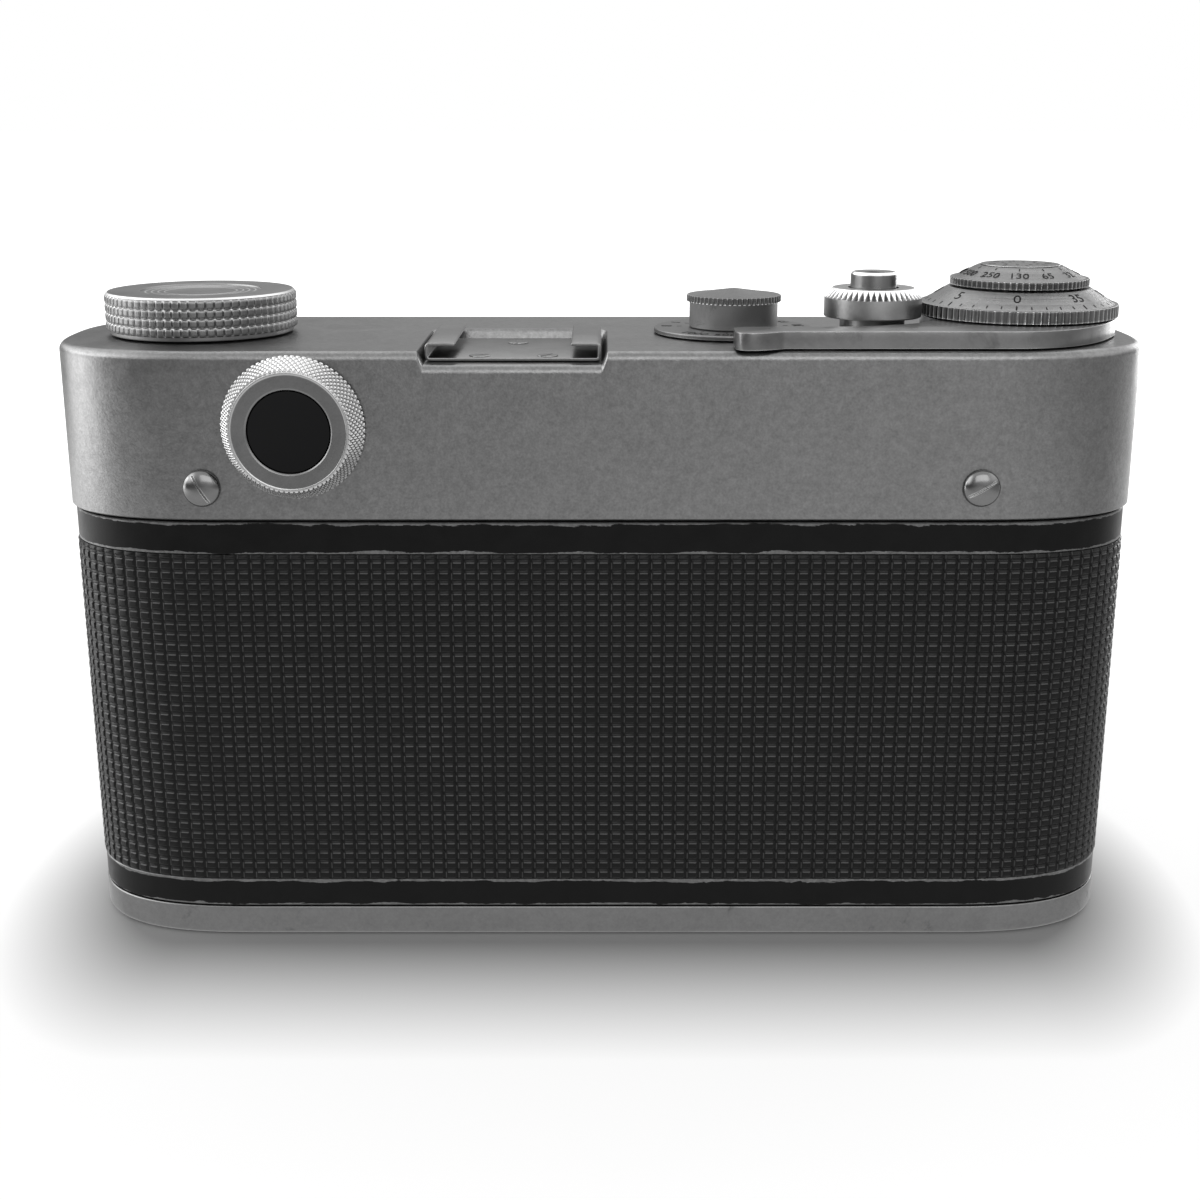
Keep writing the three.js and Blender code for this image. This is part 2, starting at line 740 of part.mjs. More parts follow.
const shoeScrews = [
  [shoeX - shoeScrewSpread / 2, shoeRear + shoeScrewRear],
  [shoeX + shoeScrewSpread / 2, shoeRear + shoeScrewRear],
  [shoeX, shoeRear + shoeScrewMiddle],
];
shoeScrews.forEach(([x, y], i) => {
  const seat = shoeBottom + shoeSheet + seatGap / 2;
  const head = bar(shoeScrewRadius, seat, seat + shoeScrewHead, x, y, fewFacets);
  const slot = box(
    x - shoeScrewRadius, x + shoeScrewRadius, y - shoeScrewSlot / 2, y + shoeScrewSlot / 2,
    seat + shoeScrewHead / 2, seat + shoeScrewHead + past,
  );
  piece(`shoe_screw_${i + 1}`, cut(head, slot), darkSteel);
});

// Domed screws through the rear of the cover into the casting's lugs
for (const [side, x] of Object.entries(screwX)) {
  const steps = 5;
  const profile = [[0, rearY + coverWall + screwShankLength]];
  profile.push([screwShankRadius, rearY + coverWall + screwShankLength]);
  profile.push([screwShankRadius, rearY - seatGap], [coverScrewRadius, rearY - seatGap]);
  for (let i = 1; i < steps; i++) {
    const angle = (i * Math.PI) / (2 * steps);
    profile.push([
      coverScrewRadius * Math.cos(angle),
      rearY - seatGap - coverScrewDome * Math.sin(angle),
    ]);
  }
  profile.push([0, rearY - seatGap - coverScrewDome]);
  const slot = new THREE.BoxGeometry(3 * coverScrewRadius, coverScrewDome, coverScrewSlot);
  slot.rotateY(coverScrewTurn[side]);
  slot.translate(x, rearY - seatGap - coverScrewDome, lugZ);
  const made = cut(turnedForward(profile, x, lugZ, 1, fewFacets), solid(slot));
  piece(`cover_screw_${side}`, made, brightSteel);
}

// Eyepiece tube in the cover, and the dioptre ring that turns on it
const tubeOuter = eyepieceGlassRadius + eyepieceTubeWall;
const tubeEnd = dioptreHeight - dioptreLip;
const tubeStop = rearY + coverWall + seatGap;
piece(
  "eyepiece_tube",
  turnedForward(
    [
      [eyepieceGlassRadius, rearY - tubeEnd],
      [eyepieceGlassRadius, tubeStop + tubeFlange],
      [tubeOuter + tubeFlange, tubeStop + tubeFlange],
      [tubeOuter + tubeFlange, tubeStop],
      [tubeOuter, tubeStop],
      [tubeOuter, rearY - tubeEnd],
      [eyepieceGlassRadius, rearY - tubeEnd],
    ],
    eyepieceX, eyepieceZ,
  ),
  blackPaint,
);
const ringBore = tubeOuter + runningGap;
const glassSeat = tubeEnd + runningGap;
piece(
  "dioptre_ring",
  turnedForward(
    [
      [ringBore, -rearY + runningGap],
      [dioptreBaseRadius, -rearY + runningGap],
      [dioptreBaseRadius, -rearY + dioptreHeight * dioptreShoulder],
      [dioptreFaceRadius + dioptreChamfer, -rearY + dioptreHeight - dioptreChamfer],
      [dioptreFaceRadius, -rearY + dioptreHeight],
      [eyepieceGlassRadius + seatGap, -rearY + dioptreHeight],
      [eyepieceGlassRadius + seatGap, -rearY + glassSeat],
      [ringBore, -rearY + glassSeat],
      [ringBore, -rearY + runningGap],
    ],
    eyepieceX, eyepieceZ, -1,
  ),
  satinChrome,
);
piece(
  "eyepiece_lens",
  turnedForward(
    [
      [0, -rearY + glassSeat + seatGap],
      [eyepieceGlassRadius, -rearY + glassSeat + seatGap],
      [eyepieceGlassRadius, -rearY + dioptreHeight - eyepieceGlassInset],
      [0, -rearY + dioptreHeight - eyepieceGlassInset],
    ],
    eyepieceX, eyepieceZ, -1,
  ),
  glass,
);

// Fixed front shell with its covering
const frontHalf = box(-wide, wide, splitY + seatGap, wide, 0, topZ);
const rearHalf = box(-wide, wide, -wide, splitY - seatGap, 0, topZ);
const timerX = lensX + timerFromLens;
const timerZ = lensZ + timerAboveLens;
const syncX = lensX + syncFromLens;
const syncZ = lensZ + syncAboveLens;
const syncNeck = syncRadius - syncShoulder;
const behindShell = bodyDepth / 2 - shellInner - past;
const frontHoles = [
  mountHole(mountRingRadius + seatGap, behindShell),
  frontHole(axleHole, behindShell, timerX, timerZ, someFacets),
  frontHole(syncNeck + seatGap, behindShell, syncX, syncZ, someFacets),
];
const shell = cut(
  planWall(shellInset, shellInner, shellBottom, shellTop),
  planWall(shellInset - past, coveringInset + coveringThickness + seatGap / 2, coveringBottom, coveringTop),
);
const skin = planWall(
  coveringInset, coveringInset + coveringThickness,
  coveringBottom + seatGap / 2, coveringTop - seatGap / 2,
);
piece("front_shell", cut(shell.intersect(frontHalf), ...frontHoles), blackPaint);
piece("front_covering", cut(skin.intersect(frontHalf), ...frontHoles), covering);

// Removable back: shell, covering, pressure plate and its leaf spring
piece("back_shell", shell.intersect(rearHalf), blackPaint);
piece("back_covering", skin.intersect(rearHalf), covering);

const plateFront = filmY - filmGap;
const plateRear = plateFront - pressurePlateThickness;
piece(
  "pressure_plate",
  box(
    lensX - pressurePlateWidth / 2, lensX + pressurePlateWidth / 2,
    plateRear, plateFront,
    lensZ - pressurePlateHeight / 2, lensZ + pressurePlateHeight / 2,
  ),
  blackPaint,
);

function pressureSpring() {
  const steps = 12;
  const reach = leafSpringLength / 2;
  const start = plateRear - seatGap;
  const drop = start - (rearY + shellInner + pressureTravel + seatGap) - leafSpringSheet;
  const upper = [];
  const lower = [];
  for (let i = 0; i <= steps; i++) {
    const share = (2 * i) / steps - 1;
    const x = lensX + reach * share;
    const y = start - drop * share ** 2;
    upper.push(new THREE.Vector2(x, y));
    lower.push(new THREE.Vector2(x, y - leafSpringSheet));
  }
  const shape = new THREE.Shape([...lower, ...upper.reverse()]);
  return prism(shape, lensZ - leafSpringWidth / 2, lensZ + leafSpringWidth / 2);
}
piece("pressure_spring", pressureSpring(), darkSteel);

// Base plate with its two lock keys and the tripod bush
const keyX = { left: -bodyLength / 2 + keyFromEnd, right: bodyLength / 2 - keyFromEnd };

function basePlate() {
  const outer = cut(
    roundedSlab(baseInset, 0, baseHeight + 3 * baseRounding, baseRounding),
    box(-wide, wide, -wide, wide, baseHeight, baseHeight + wide),
  );
  const tray = planSlab(baseInset + baseWall, baseFloor, baseHeight + past);
  const keyCuts = Object.values(keyX).flatMap((x) => [
    bar(keyRadius + runningGap, -past, keyRecess, x, 0, manyFacets),
    bar(keyShaftRadius + runningGap, -past, baseHeight, x, 0, fewFacets),
  ]);
  const bushHole = bar(tripodBushRadius + seatGap, -past, baseHeight, lensX, 0);
  return cut(outer, tray, ...keyCuts, bushHole);
}
piece("base_plate", basePlate(), satinChrome);
piece(
  "tripod_bush",
  cut(
    bar(tripodBushRadius, 0, tripodBushHeight, lensX, 0),
    bar(tripodThreadRadius, -past, tripodDepth, lensX, 0),
  ),
  brass,
);

const flapBottom = runningGap + seatGap / 2;
const flapTop = flapBottom + flapThickness;
const keyTop = keyRecess - seatGap;
for (const [side, x] of Object.entries(keyX)) {
  const disc = bar(keyRadius, runningGap, keyTop, x, 0, manyFacets);
  const pocket = bar(flapRadius + runningGap, 0, flapTop + seatGap, x, 0, manyFacets)
    .intersect(box(x - wide, x + wide, -flapThickness - seatGap, wide, 0, baseHeight));
  const shaft = bar(keyShaftRadius, keyTop - seatGap, baseHeight + keyShaftProud, x, 0, fewFacets);
  const hook = box(
    x - keyHookLength, x, -keyHookWidth / 2, keyHookWidth / 2,
    baseFloor + 2 * runningGap, baseHeight + runningGap,
  );
  piece(`lock_key_${side}`, join(cut(disc, pocket), shaft, hook), brightSteel);
  const hingeLength = 1.7 * flapRadius;
  const hinge = new THREE.CylinderGeometry(flapThickness / 2, flapThickness / 2, hingeLength, 12);
  hinge.rotateZ(Math.PI / 2).translate(x, 0, flapBottom + flapThickness / 2);
  const leaf = bar(flapRadius, flapBottom, flapTop, x, 0, manyFacets)
    .intersect(box(x - wide, x + wide, 0, wide, 0, baseHeight));
  piece(`lock_flap_${side}`, join(leaf, solid(hinge)), brightSteel);
}

// Rewind knob, its shaft with the fork, and the washer under it
const onTop = topZ + controlGap;
const knobTop = onTop + rewindHeight;
const knobUnder = onTop + washerThickness + runningGap;
const knobBore = knobTop - rewindCrown;
piece(
  "rewind_knob",
  turned(
    [
      [0, knobTop - rewindRecessDepth],
      [rewindGrooveRadius, knobTop - rewindRecessDepth],
      [rewindRecessRadius, knobTop - rewindRecessDepth / 2],
      [rewindRecessRadius, knobTop],
      [rewindRadius - rewindRim, knobTop],
      [rewindRadius, knobTop - rewindRim],
      [rewindRadius, onTop + rewindRim],
      [rewindRadius - rewindRim, onTop],
      [rewindWasherRadius + 2 * runningGap, onTop],
      [rewindWasherRadius + 2 * runningGap, knobUnder],
      [rewindShaftRadius + seatGap, knobUnder],
      [rewindShaftRadius + seatGap, knobBore],
      [0, knobBore],
    ],
    rewindX, 0,
  ),
  satinChrome,
);
const forkTop = chamberTop - rewindForkDrop;
const forkBottom = forkTop - rewindForkLength;
piece(
  "rewind_shaft",
  cut(
    join(
      bar(rewindShaftRadius, forkTop - past, knobBore - seatGap, rewindX, 0, fewFacets),
      bar(rewindForkRadius, forkBottom, forkTop, rewindX, 0, someFacets),
    ),
    box(
      rewindX - rewindForkRadius, rewindX + rewindForkRadius,
      -rewindForkSlot / 2, rewindForkSlot / 2,
      forkBottom - past, forkBottom + rewindForkSlot,
    ),
  ),
  brightSteel,
);
piece(
  "rewind_washer",
  turned(
    ringProfile(
      rewindShaftRadius + runningGap, rewindWasherRadius,
      onTop, onTop + washerThickness,
    ),
    rewindX, 0,
  ),
  darkSteel,
);

// Speed dial: fluted cap and drum over an engraved disc, on a spindle that lifts
function flutedRim(radius, z0, z1, x, y) {
  const points = [];
  for (let i = 0; i < 2 * rimFlutes; i++) {
    const angle = (i * Math.PI) / rimFlutes;
    const reach = radius - (i % 2 ? fluteDepth : 0);
    points.push(new THREE.Vector2(x + reach * Math.cos(angle), y + reach * Math.sin(angle)));
  }
  return prism(new THREE.Shape(points), z0, z1);
}
const discTop = onTop + speedDiscThickness;
const speedCapBottom = discTop + seatGap / 2 + speedDrumHeight;
const speedCapTop = speedCapBottom + speedCapThickness;
const speedTop = speedCapTop + speedCapCone;
const speedBore = spindleRadius + seatGap;
piece(
  "speed_disc",
  turned(ringProfile(speedBore, speedDiscRadius, onTop, discTop), drumX, drumY),
  darkSteel,
);
piece(
  "speed_dial",
  cut(
    join(
      bar(speedDrumRadius, discTop + seatGap / 2, speedCapBottom + seatGap, drumX, drumY, manyFacets),
      flutedRim(speedCapRadius, speedCapBottom, speedCapTop, drumX, drumY),
      turned(
        [[0, speedCapBottom], [speedCapRadius - coneSetIn, speedCapBottom],
          [speedCapRadius - coneSetIn, speedCapTop], [0, speedTop]],
        drumX, drumY,
      ),
    ),
    bar(speedBore, 0, speedCapBottom, drumX, drumY),
  ),
  darkSteel,
);
const drumGearZ = gearLevel + gearLevelStep;
const drumShaftTop = drumGearZ + gearThickness + shaftEnd;
piece(
  "speed_spindle",
  bar(spindleRadius, drumShaftTop + runningGap, speedCapBottom - seatGap, drumX, drumY),
  brightSteel,
);

// Release: button, spring and the knurled rewind collar round it
const collarDrumBottom = onTop + collarStemHeight;
const collarDrumTop = collarDrumBottom + collarDrumHeight;
const collarTop = collarDrumTop + collarChamfer;
const collarBore = buttonRadius + runningGap;
piece(
  "rewind_collar",
  turned(
    [
      [collarBore, onTop],
      [collarStemRadius, onTop],
      [collarStemRadius, collarDrumBottom],
      [collarRadius, collarDrumBottom],
      [collarRadius, collarDrumTop],
      [collarRadius - collarChamfer, collarTop],
      [collarBore, collarTop],
      [collarBore, onTop],
    ],
    sprocketX, sprocketY,
  ),
  satinChrome,
);
const buttonTop = collarTop + buttonProud;
const buttonHead = onTop + buttonTravel + springSolid;
piece(
  "release_button",
  turned(
    [
      [0, buttonTop - cableHoleDepth],
      [cableHoleRadius, buttonTop - cableHoleDepth],
      [cableHoleRadius, buttonTop - buttonDish],
      [buttonRadius - buttonDish, buttonTop],
      [buttonRadius, buttonTop - buttonDish],
      [buttonRadius, buttonHead],
      [buttonRodRadius, buttonHead],
      [buttonRodRadius, buttonHead - buttonRodLength],
      [0, buttonHead - buttonRodLength],
    ],
    sprocketX, sprocketY, someFacets,
  ),
  brightSteel,
);
const springBore = buttonRodRadius + runningGap;
piece(
  "release_spring",
  turned(
    ringProfile(springBore, springBore + springWall, onTop, buttonHead - controlGap),
    sprocketX, sprocketY, fewFacets,
  ),
  darkSteel,
);

// Advance lever: a hub disc under the dials and an arm along the rear edge
const leverBottom = onTop;
const leverTop = leverBottom + leverThickness;

function advanceLever() {
  const tipX = takeUpX - leverReach;
  const tipY = -leverArmOuter - leverTipHook;
  const inner = leverArmOuter - leverArmWidth;
  const arm = new THREE.Shape();
  arm.moveTo(tipX, tipY + leverTipRound);
  arm.quadraticCurveTo(tipX, tipY, tipX + leverTipRound, tipY);
  arm.quadraticCurveTo(tipX + leverTipLength / 2, tipY, tipX + leverTipLength, -leverArmOuter);
  arm.lineTo(takeUpX - leverBend, -leverArmOuter);
  arm.quadraticCurveTo(
    takeUpX + leverBend, -leverArmOuter,
    takeUpX + 2 * leverBend, -leverHubRadius * 0.75,
  );
  arm.lineTo(takeUpX, 0);
  arm.lineTo(takeUpX - leverHubRadius * 0.8, -leverHubRadius * 0.4);
  arm.lineTo(sprocketX, -inner + leverCollarGap);
  arm.lineTo(sprocketX - collarRadius, -inner);
  arm.lineTo(tipX + leverTipLength / 2, -inner);
  arm.lineTo(tipX, -inner - leverTipHook);
  return cut(
    join(
      prism(arm, leverBottom, leverTop),
      bar(leverHubRadius, leverBottom, leverTop, takeUpX, 0, manyFacets),
    ),
    bar(
      collarRadius + leverCollarGap, leverBottom - past, leverTop + past,
      sprocketX, sprocketY, manyFacets,
    ),
    bar(spindleRadius + seatGap, leverBottom - past, leverTop + past, takeUpX, 0),
  );
}
piece("advance_lever", advanceLever(), darkSteel);

const counterBottom = leverTop + dialGap;
const counterTop = counterBottom + counterRimHeight + counterConeHeight;
piece(
  "counter_dial",
  cut(
    join(
      flutedRim(
        counterRimRadius, counterBottom, counterBottom + counterRimHeight,
        takeUpX, 0,
      ),
      turned(
        [[0, counterBottom], [counterRimRadius - coneSetIn, counterBottom],
          [counterRimRadius - coneSetIn, counterBottom + counterRimHeight],
          [counterConeTop, counterTop], [0, counterTop]],
        takeUpX, 0,
      ),
    ),
    bar(spindleHole, counterBottom - past, counterTop + past, takeUpX, 0),
  ),
  darkSteel,
);
const reminderBottom = counterTop + dialGap;
const reminderTop = reminderBottom + reminderRimHeight + reminderConeHeight;
piece(
  "reminder_dial",
  cut(
    join(
      flutedRim(
        reminderRimRadius, reminderBottom, reminderBottom + reminderRimHeight,
        takeUpX, 0,
      ),
      turned(
        [[0, reminderBottom], [reminderRimRadius - coneSetIn, reminderBottom],
          [reminderRimRadius - coneSetIn, reminderBottom + reminderRimHeight],
          [reminderTopRadius + runningGap, reminderTop], [0, reminderTop]],
        takeUpX, 0,
      ),
    ),
    bar(spindleHole, reminderBottom - past, reminderTop - reminderCrown, takeUpX, 0),
  ),
  darkSteel,
);
piece(
  "reminder_cap",
  bar(
    reminderTopRadius, reminderTop + seatGap / 2, reminderTop + reminderCapHeight,
    takeUpX, 0, manyFacets,
  ),
  satinChrome,
);

// Winding train under the cover
const windGearZ = gearLevel + 2 * gearLevelStep;
const spindlePhase = 0;
const windIdlerPhase = meshPhase(spindle, spindleTeeth, spindlePhase, windIdler, windIdlerTeeth);
const windPhase = meshPhase(windIdler, windIdlerTeeth, windIdlerPhase, wind, windTeeth);
const shutterPhase = meshPhase(spindle, spindleTeeth, spindlePhase, shutterIdler, shutterIdlerTeeth);
const drumPhase = meshPhase(shutterIdler, shutterIdlerTeeth, shutterPhase, drum, spindleTeeth);
const takeUpIdlerPhase = meshPhase(
  spindle, spindleTeeth, spindlePhase,
  takeUpIdler, takeUpIdlerTeeth,
);
const takeUpPhase = meshPhase(takeUpIdler, takeUpIdlerTeeth, takeUpIdlerPhase, wind, spindleTeeth);

function idler(name, place, teeth, phase, z) {
  const axle = bar(
    idlerAxleRadius, castingTop + runningGap, z + gearThickness + shaftEnd,
    place.x, place.y, fewFacets,
  );
  piece(name, join(gearWheel(teeth, phase, place.x, place.y, z), axle), brass);
}
idler("wind_idler", windIdler, windIdlerTeeth, windIdlerPhase, windGearZ);
idler("shutter_idler", shutterIdler, shutterIdlerTeeth, shutterPhase, drumGearZ);
idler("take_up_idler", takeUpIdler, takeUpIdlerTeeth, takeUpIdlerPhase, gearLevel);

const takeUpShaftTop = gearLevel + gearThickness + shaftEnd;
piece(
  "wind_shaft",
  join(
    bar(
      spindleRadius, takeUpShaftTop + runningGap, reminderTop - reminderCrown - runningGap,
      takeUpX, 0,
    ),
    gearWheel(windTeeth, windPhase, takeUpX, 0, windGearZ),
  ),
  brightSteel,
);

const spoolBottom = chamberBottom + spoolEndGap;
const spoolTop = chamberTop - spoolEndGap;
piece(
  "take_up_spool",
  join(
    bar(spindleRadius, pinBottom, takeUpShaftTop, takeUpX, 0, fewFacets),
    bar(takeUpCoreRadius, spoolBottom, spoolTop, takeUpX, 0, someFacets),
    bar(takeUpFlangeRadius, spoolBottom, spoolBottom + spoolFlange, takeUpX, 0, manyFacets),
    bar(takeUpFlangeRadius, spoolTop - spoolFlange, spoolTop, takeUpX, 0, manyFacets),
    gearWheel(spindleTeeth, takeUpPhase, takeUpX, 0, gearLevel),
  ),
  blackPaint,
);

function filmSprocket() {
  const filmMiddle = (spoolBottom + spoolTop) / 2;
  const rows = [filmMiddle - perforationRows / 2, filmMiddle + perforationRows / 2];
  const teeth = rows.flatMap((z) =>
    Array.from({ length: sprocketTeeth }, (_, i) => {
      const tooth = new THREE.ConeGeometry(sprocketToothWidth / 2, sprocketToothHeight + past, 4);
      tooth.rotateZ(-Math.PI / 2);
      tooth.translate(sprocketRadius + (sprocketToothHeight - past) / 2, 0, 0);
      tooth.rotateZ((i * 2 * Math.PI) / sprocketTeeth).translate(sprocketX, sprocketY, z);
      return solid(tooth);
    }),
  );
  const rims = rows.map((z) =>
    bar(sprocketRadius, z - sprocketRim / 2, z + sprocketRim / 2, sprocketX, sprocketY, manyFacets),
  );
  const wheels = [gearLevel, drumGearZ, windGearZ].map((z) =>
    gearWheel(spindleTeeth, spindlePhase, sprocketX, sprocketY, z),
  );
  const shaftTop = windGearZ + gearThickness + shaftEnd;
  return cut(
    join(
      bar(spindleRadius, pinBottom, shaftTop, sprocketX, sprocketY, fewFacets),
      bar(sprocketRadius - sprocketWaist, rows[0], rows[1], sprocketX, sprocketY, someFacets),
      ...rims,
      ...teeth,
      ...wheels,
    ),
    bar(
      springBore,
      buttonHead - buttonRodLength - buttonTravel - runningGap, shaftTop + past,
      sprocketX, sprocketY, fewFacets,
    ),
  );
}
piece("film_sprocket", filmSprocket(), satinChrome);

piece(
  "curtain_drum",
  join(
    bar(spindleRadius, pinBottom, drumShaftTop, drumX, drumY, fewFacets),
    bar(drumRadius, spoolBottom, spoolTop, drumX, drumY, manyFacets),
    gearWheel(spindleTeeth, drumPhase, drumX, drumY, drumGearZ),
  ),
  satinChrome,
);
piece(
  "spring_roller",
  bar(
    rollerRadius, chamberBottom + runningGap, chamberTop - runningGap,
    rollerX, rollerY, someFacets,
  ),
  satinChrome,
);

// Lens mount ring and the lens
piece(
  "lens_mount_ring",
  turnedForward(
    ringProfile(mountBore, mountRingRadius, flangeY - mountRingThickness, flangeY),
    lensX, lensZ,
  ),
  brightSteel,
);
const lensBaseBore = lensTubeRadius + runningGap;
const lensBaseRadius = lensBaseBore + lensBaseWall;
const lensBaseStart = flangeY + seatGap;
piece(
  "lens_base",
  turnedForward(
    [
      [lensBaseBore, flangeY - bayonetDepth],
      [mountBore - seatGap, flangeY - bayonetDepth],
      [mountBore - seatGap, lensBaseStart],
      [lensBaseRadius, lensBaseStart],
      [lensBaseRadius, lensBaseStart + lensBaseLength],
      [lensBaseBore, lensBaseStart + lensBaseLength],
      [lensBaseBore, flangeY - bayonetDepth],
    ],
    lensX, lensZ,
  ),
  satinChrome,
);
const focusRingStart = lensBaseStart + focusRingInset;
const focusRingBore = lensBaseRadius + runningGap;
piece(
  "focus_ring",
  turnedForward(
    ringProfile(
      focusRingBore, focusRingBore + focusRingWall,
      focusRingStart, focusRingStart + focusRingLength,
    ),
    lensX, lensZ,
  ),
  blackPaint,
);
const apertureStart = lensBaseStart + lensBaseLength + apertureRingGap;
const apertureEnd = apertureStart + apertureRingLength;
const headStart = apertureEnd + runningGap;
const headEnd = headStart + lensHeadLength;
const tubeInner = lensTubeRadius - lensTubeWall;
const headFloor = headStart + lensHeadStep;
piece(
  "lens_cell",
  turnedForward(
    [
      [tubeInner, lensTubeRear],
      [lensTubeRadius, lensTubeRear],
      [lensTubeRadius, headStart],
      [lensHeadRadius, headStart],
      [lensHeadRadius, headEnd - lensHeadChamfer],
      [lensHeadRadius - lensHeadChamfer, headEnd],
      [lensHeadBore, headEnd],
      [lensHeadBore, headFloor],
      [tubeInner - lensSeat, headFloor],
      [tubeInner - lensSeat, headFloor - lensSeat],
      [tubeInner, headFloor - lensSeat],
      [tubeInner, lensTubeRear],
    ],
    lensX, lensZ,
  ),
  satinChrome,
);
piece(
  "aperture_ring",
  turnedForward(
    ringProfile(
      lensTubeRadius + runningGap, lensTubeRadius + runningGap + apertureRingWall,
      apertureStart, apertureEnd,
    ),
    lensX, lensZ,
  ),
  satinChrome,
);
const frontGlassRear = headFloor + seatGap;

// A glass disc with a rounded front face.
function glassDisc(radius, rear, thickness, bulge) {
  const steps = 4;
  const profile = [[0, rear], [radius, rear]];
  for (let i = 0; i < steps; i++) {
    const reach = radius * (1 - i / steps);
    profile.push([reach, rear + thickness + bulge * (1 - (reach / radius) ** 2)]);
  }
  profile.push([0, rear + thickness + bulge]);
  return turnedForward(profile, lensX, lensZ);
}
piece(
  "front_glass",
  glassDisc(lensHeadBore - glassInset, frontGlassRear, frontGlassEdge, frontGlassBulge),
  glass,
);
piece(
  "rear_glass",
  glassDisc(tubeInner - glassInset, lensTubeRear + rearGlassInset, rearGlassEdge, rearGlassBulge),
  glass,
);
const retainingStart = frontGlassRear + frontGlassEdge + 2 * runningGap;
piece(
  "retaining_ring",
  turnedForward(
    ringProfile(
      lensHeadBore - glassInset - retainingRingWidth, lensHeadBore - glassInset,
      retainingStart, retainingStart + retainingRingHeight,
    ),
    lensX, lensZ,
  ),
  blackPaint,
);

// Rangefinder arm: its foot follows the rear edge of the lens, its shaft carries the mirror
function rangefinderArm() {
  const footFront = lensTubeRear - runningGap;
  const half = rangefinderArmThickness / 2;
  const top = armZ + rangefinderArmThickness;
  const beam = box(
    lensX - 2 * half, rangefinderX,
    rangefinderArmY - half, rangefinderArmY + half,
    armZ, top,
  );
  const foot = box(lensX - 2 * half, lensX + 2 * half, rangefinderArmY, footFront, armZ, top);
  const shaft = bar(
    idlerAxleRadius, armZ, eyepieceZ - mirrorSize / 2 + past,
    rangefinderX, rangefinderArmY, fewFacets,
  );
  return join(beam, foot, shaft);
}
piece("rangefinder_arm", rangefinderArm(), brass);
const mirrorPlate = new THREE.BoxGeometry(mirrorSize, mirrorThickness, mirrorSize);
mirrorPlate.rotateZ(Math.PI / 4);
mirrorPlate.translate(rangefinderX, rangefinderArmY, eyepieceZ + past + seatGap);
piece("rangefinder_mirror", solid(mirrorPlate), mirror);

// Self-timer lever and flash socket on the front
const frontFaceY = bodyDepth / 2 - coveringInset;
const timerY = frontFaceY + runningGap;

function selfTimerLever() {
  const hub = turnedForward(
    [[0, timerY], [timerHubRadius, timerY], [timerHubRadius, timerY + timerProud - timerChamfer],
      [timerHubRadius - timerChamfer, timerY + timerProud], [0, timerY + timerProud]],
    timerX, timerZ, 1, someFacets,
  );
  const blade = new THREE.Shape();
  blade.moveTo(-timerRootHalf, 0);
  blade.lineTo(-timerTipRadius, -timerLeverLength + timerTipRadius);
  blade.absarc(
    0, -timerLeverLength + timerTipRadius, timerTipRadius,
    Math.PI, 2 * Math.PI, false,
  );
  blade.lineTo(timerRootHalf, 0);
  const options = { depth: timerBlade, bevelEnabled: false, curveSegments: 8 };
  const geometry = new THREE.ExtrudeGeometry(blade, options);
  geometry.rotateX(Math.PI / 2).translate(timerX, timerY + timerBlade + runningGap, timerZ);
  const pin = turnedForward(
    [[0, timerY - shellInner], [idlerAxleRadius, timerY - shellInner],
      [idlerAxleRadius, timerY + past], [0, timerY + past]],
    timerX, timerZ, 1, fewFacets,
  );
  return join(hub, solid(geometry), pin);
}
piece("self_timer_lever", selfTimerLever(), satinChrome);
piece(
  "sync_socket",
  turnedForward(
    [
      [syncBore, frontFaceY - syncDepth],
      [syncNeck, frontFaceY - syncDepth],
      [syncNeck, frontFaceY + seatGap],
      [syncRadius, frontFaceY + seatGap],
      [syncRadius, frontFaceY + syncProud],
      [syncBore, frontFaceY + syncProud],
      [syncBore, frontFaceY - syncDepth],
    ],
    syncX, syncZ, 1, someFacets,
  ),
  satinChrome,
);

export default camera;
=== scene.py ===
import math

import bmesh
import bpy
import numpy as np
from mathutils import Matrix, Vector


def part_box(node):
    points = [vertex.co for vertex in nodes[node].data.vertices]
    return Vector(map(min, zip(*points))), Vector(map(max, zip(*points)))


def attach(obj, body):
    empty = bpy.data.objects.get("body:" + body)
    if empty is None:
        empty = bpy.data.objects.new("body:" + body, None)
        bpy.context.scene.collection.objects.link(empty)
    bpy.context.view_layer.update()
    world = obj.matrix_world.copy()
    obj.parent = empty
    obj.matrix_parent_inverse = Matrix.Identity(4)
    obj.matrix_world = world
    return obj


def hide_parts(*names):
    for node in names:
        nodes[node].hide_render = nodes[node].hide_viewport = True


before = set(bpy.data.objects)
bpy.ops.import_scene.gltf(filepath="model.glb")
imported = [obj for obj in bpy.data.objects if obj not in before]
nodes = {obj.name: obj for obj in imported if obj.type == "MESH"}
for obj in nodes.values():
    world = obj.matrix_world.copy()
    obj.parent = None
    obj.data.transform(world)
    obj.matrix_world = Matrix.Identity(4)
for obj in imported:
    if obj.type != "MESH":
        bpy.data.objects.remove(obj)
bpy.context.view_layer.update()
scene = bpy.context.scene
mm = 0.001
usualSharpAngle, cutSharpAngle, easedSharpAngle = 32, 40, 50
print("frame loaded:", len(nodes), "solids")


def cadBox(name):
    # lowest and highest corner of a solid in millimetres
    return [np.array(corner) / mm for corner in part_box(name)]


def cadMiddle(name):
    # half the sum of a solid's two corners
    low, high = cadBox(name)
    return (low + high) / 2


def alongY(name):
    # where a solid starts and ends along Y
    low, high = cadBox(name)
    return low[1], high[1]


def alongZ(name):
    # where a solid starts and ends along Z
    low, high = cadBox(name)
    return low[2], high[2]


# Mesh helpers, all in millimetres

def smooth(t):
    # three t squared less two t cubed, held at 0 below 0 and at 1 above 1
    t = np.clip(t, 0, 1)
    return t * t * (3 - 2 * t)


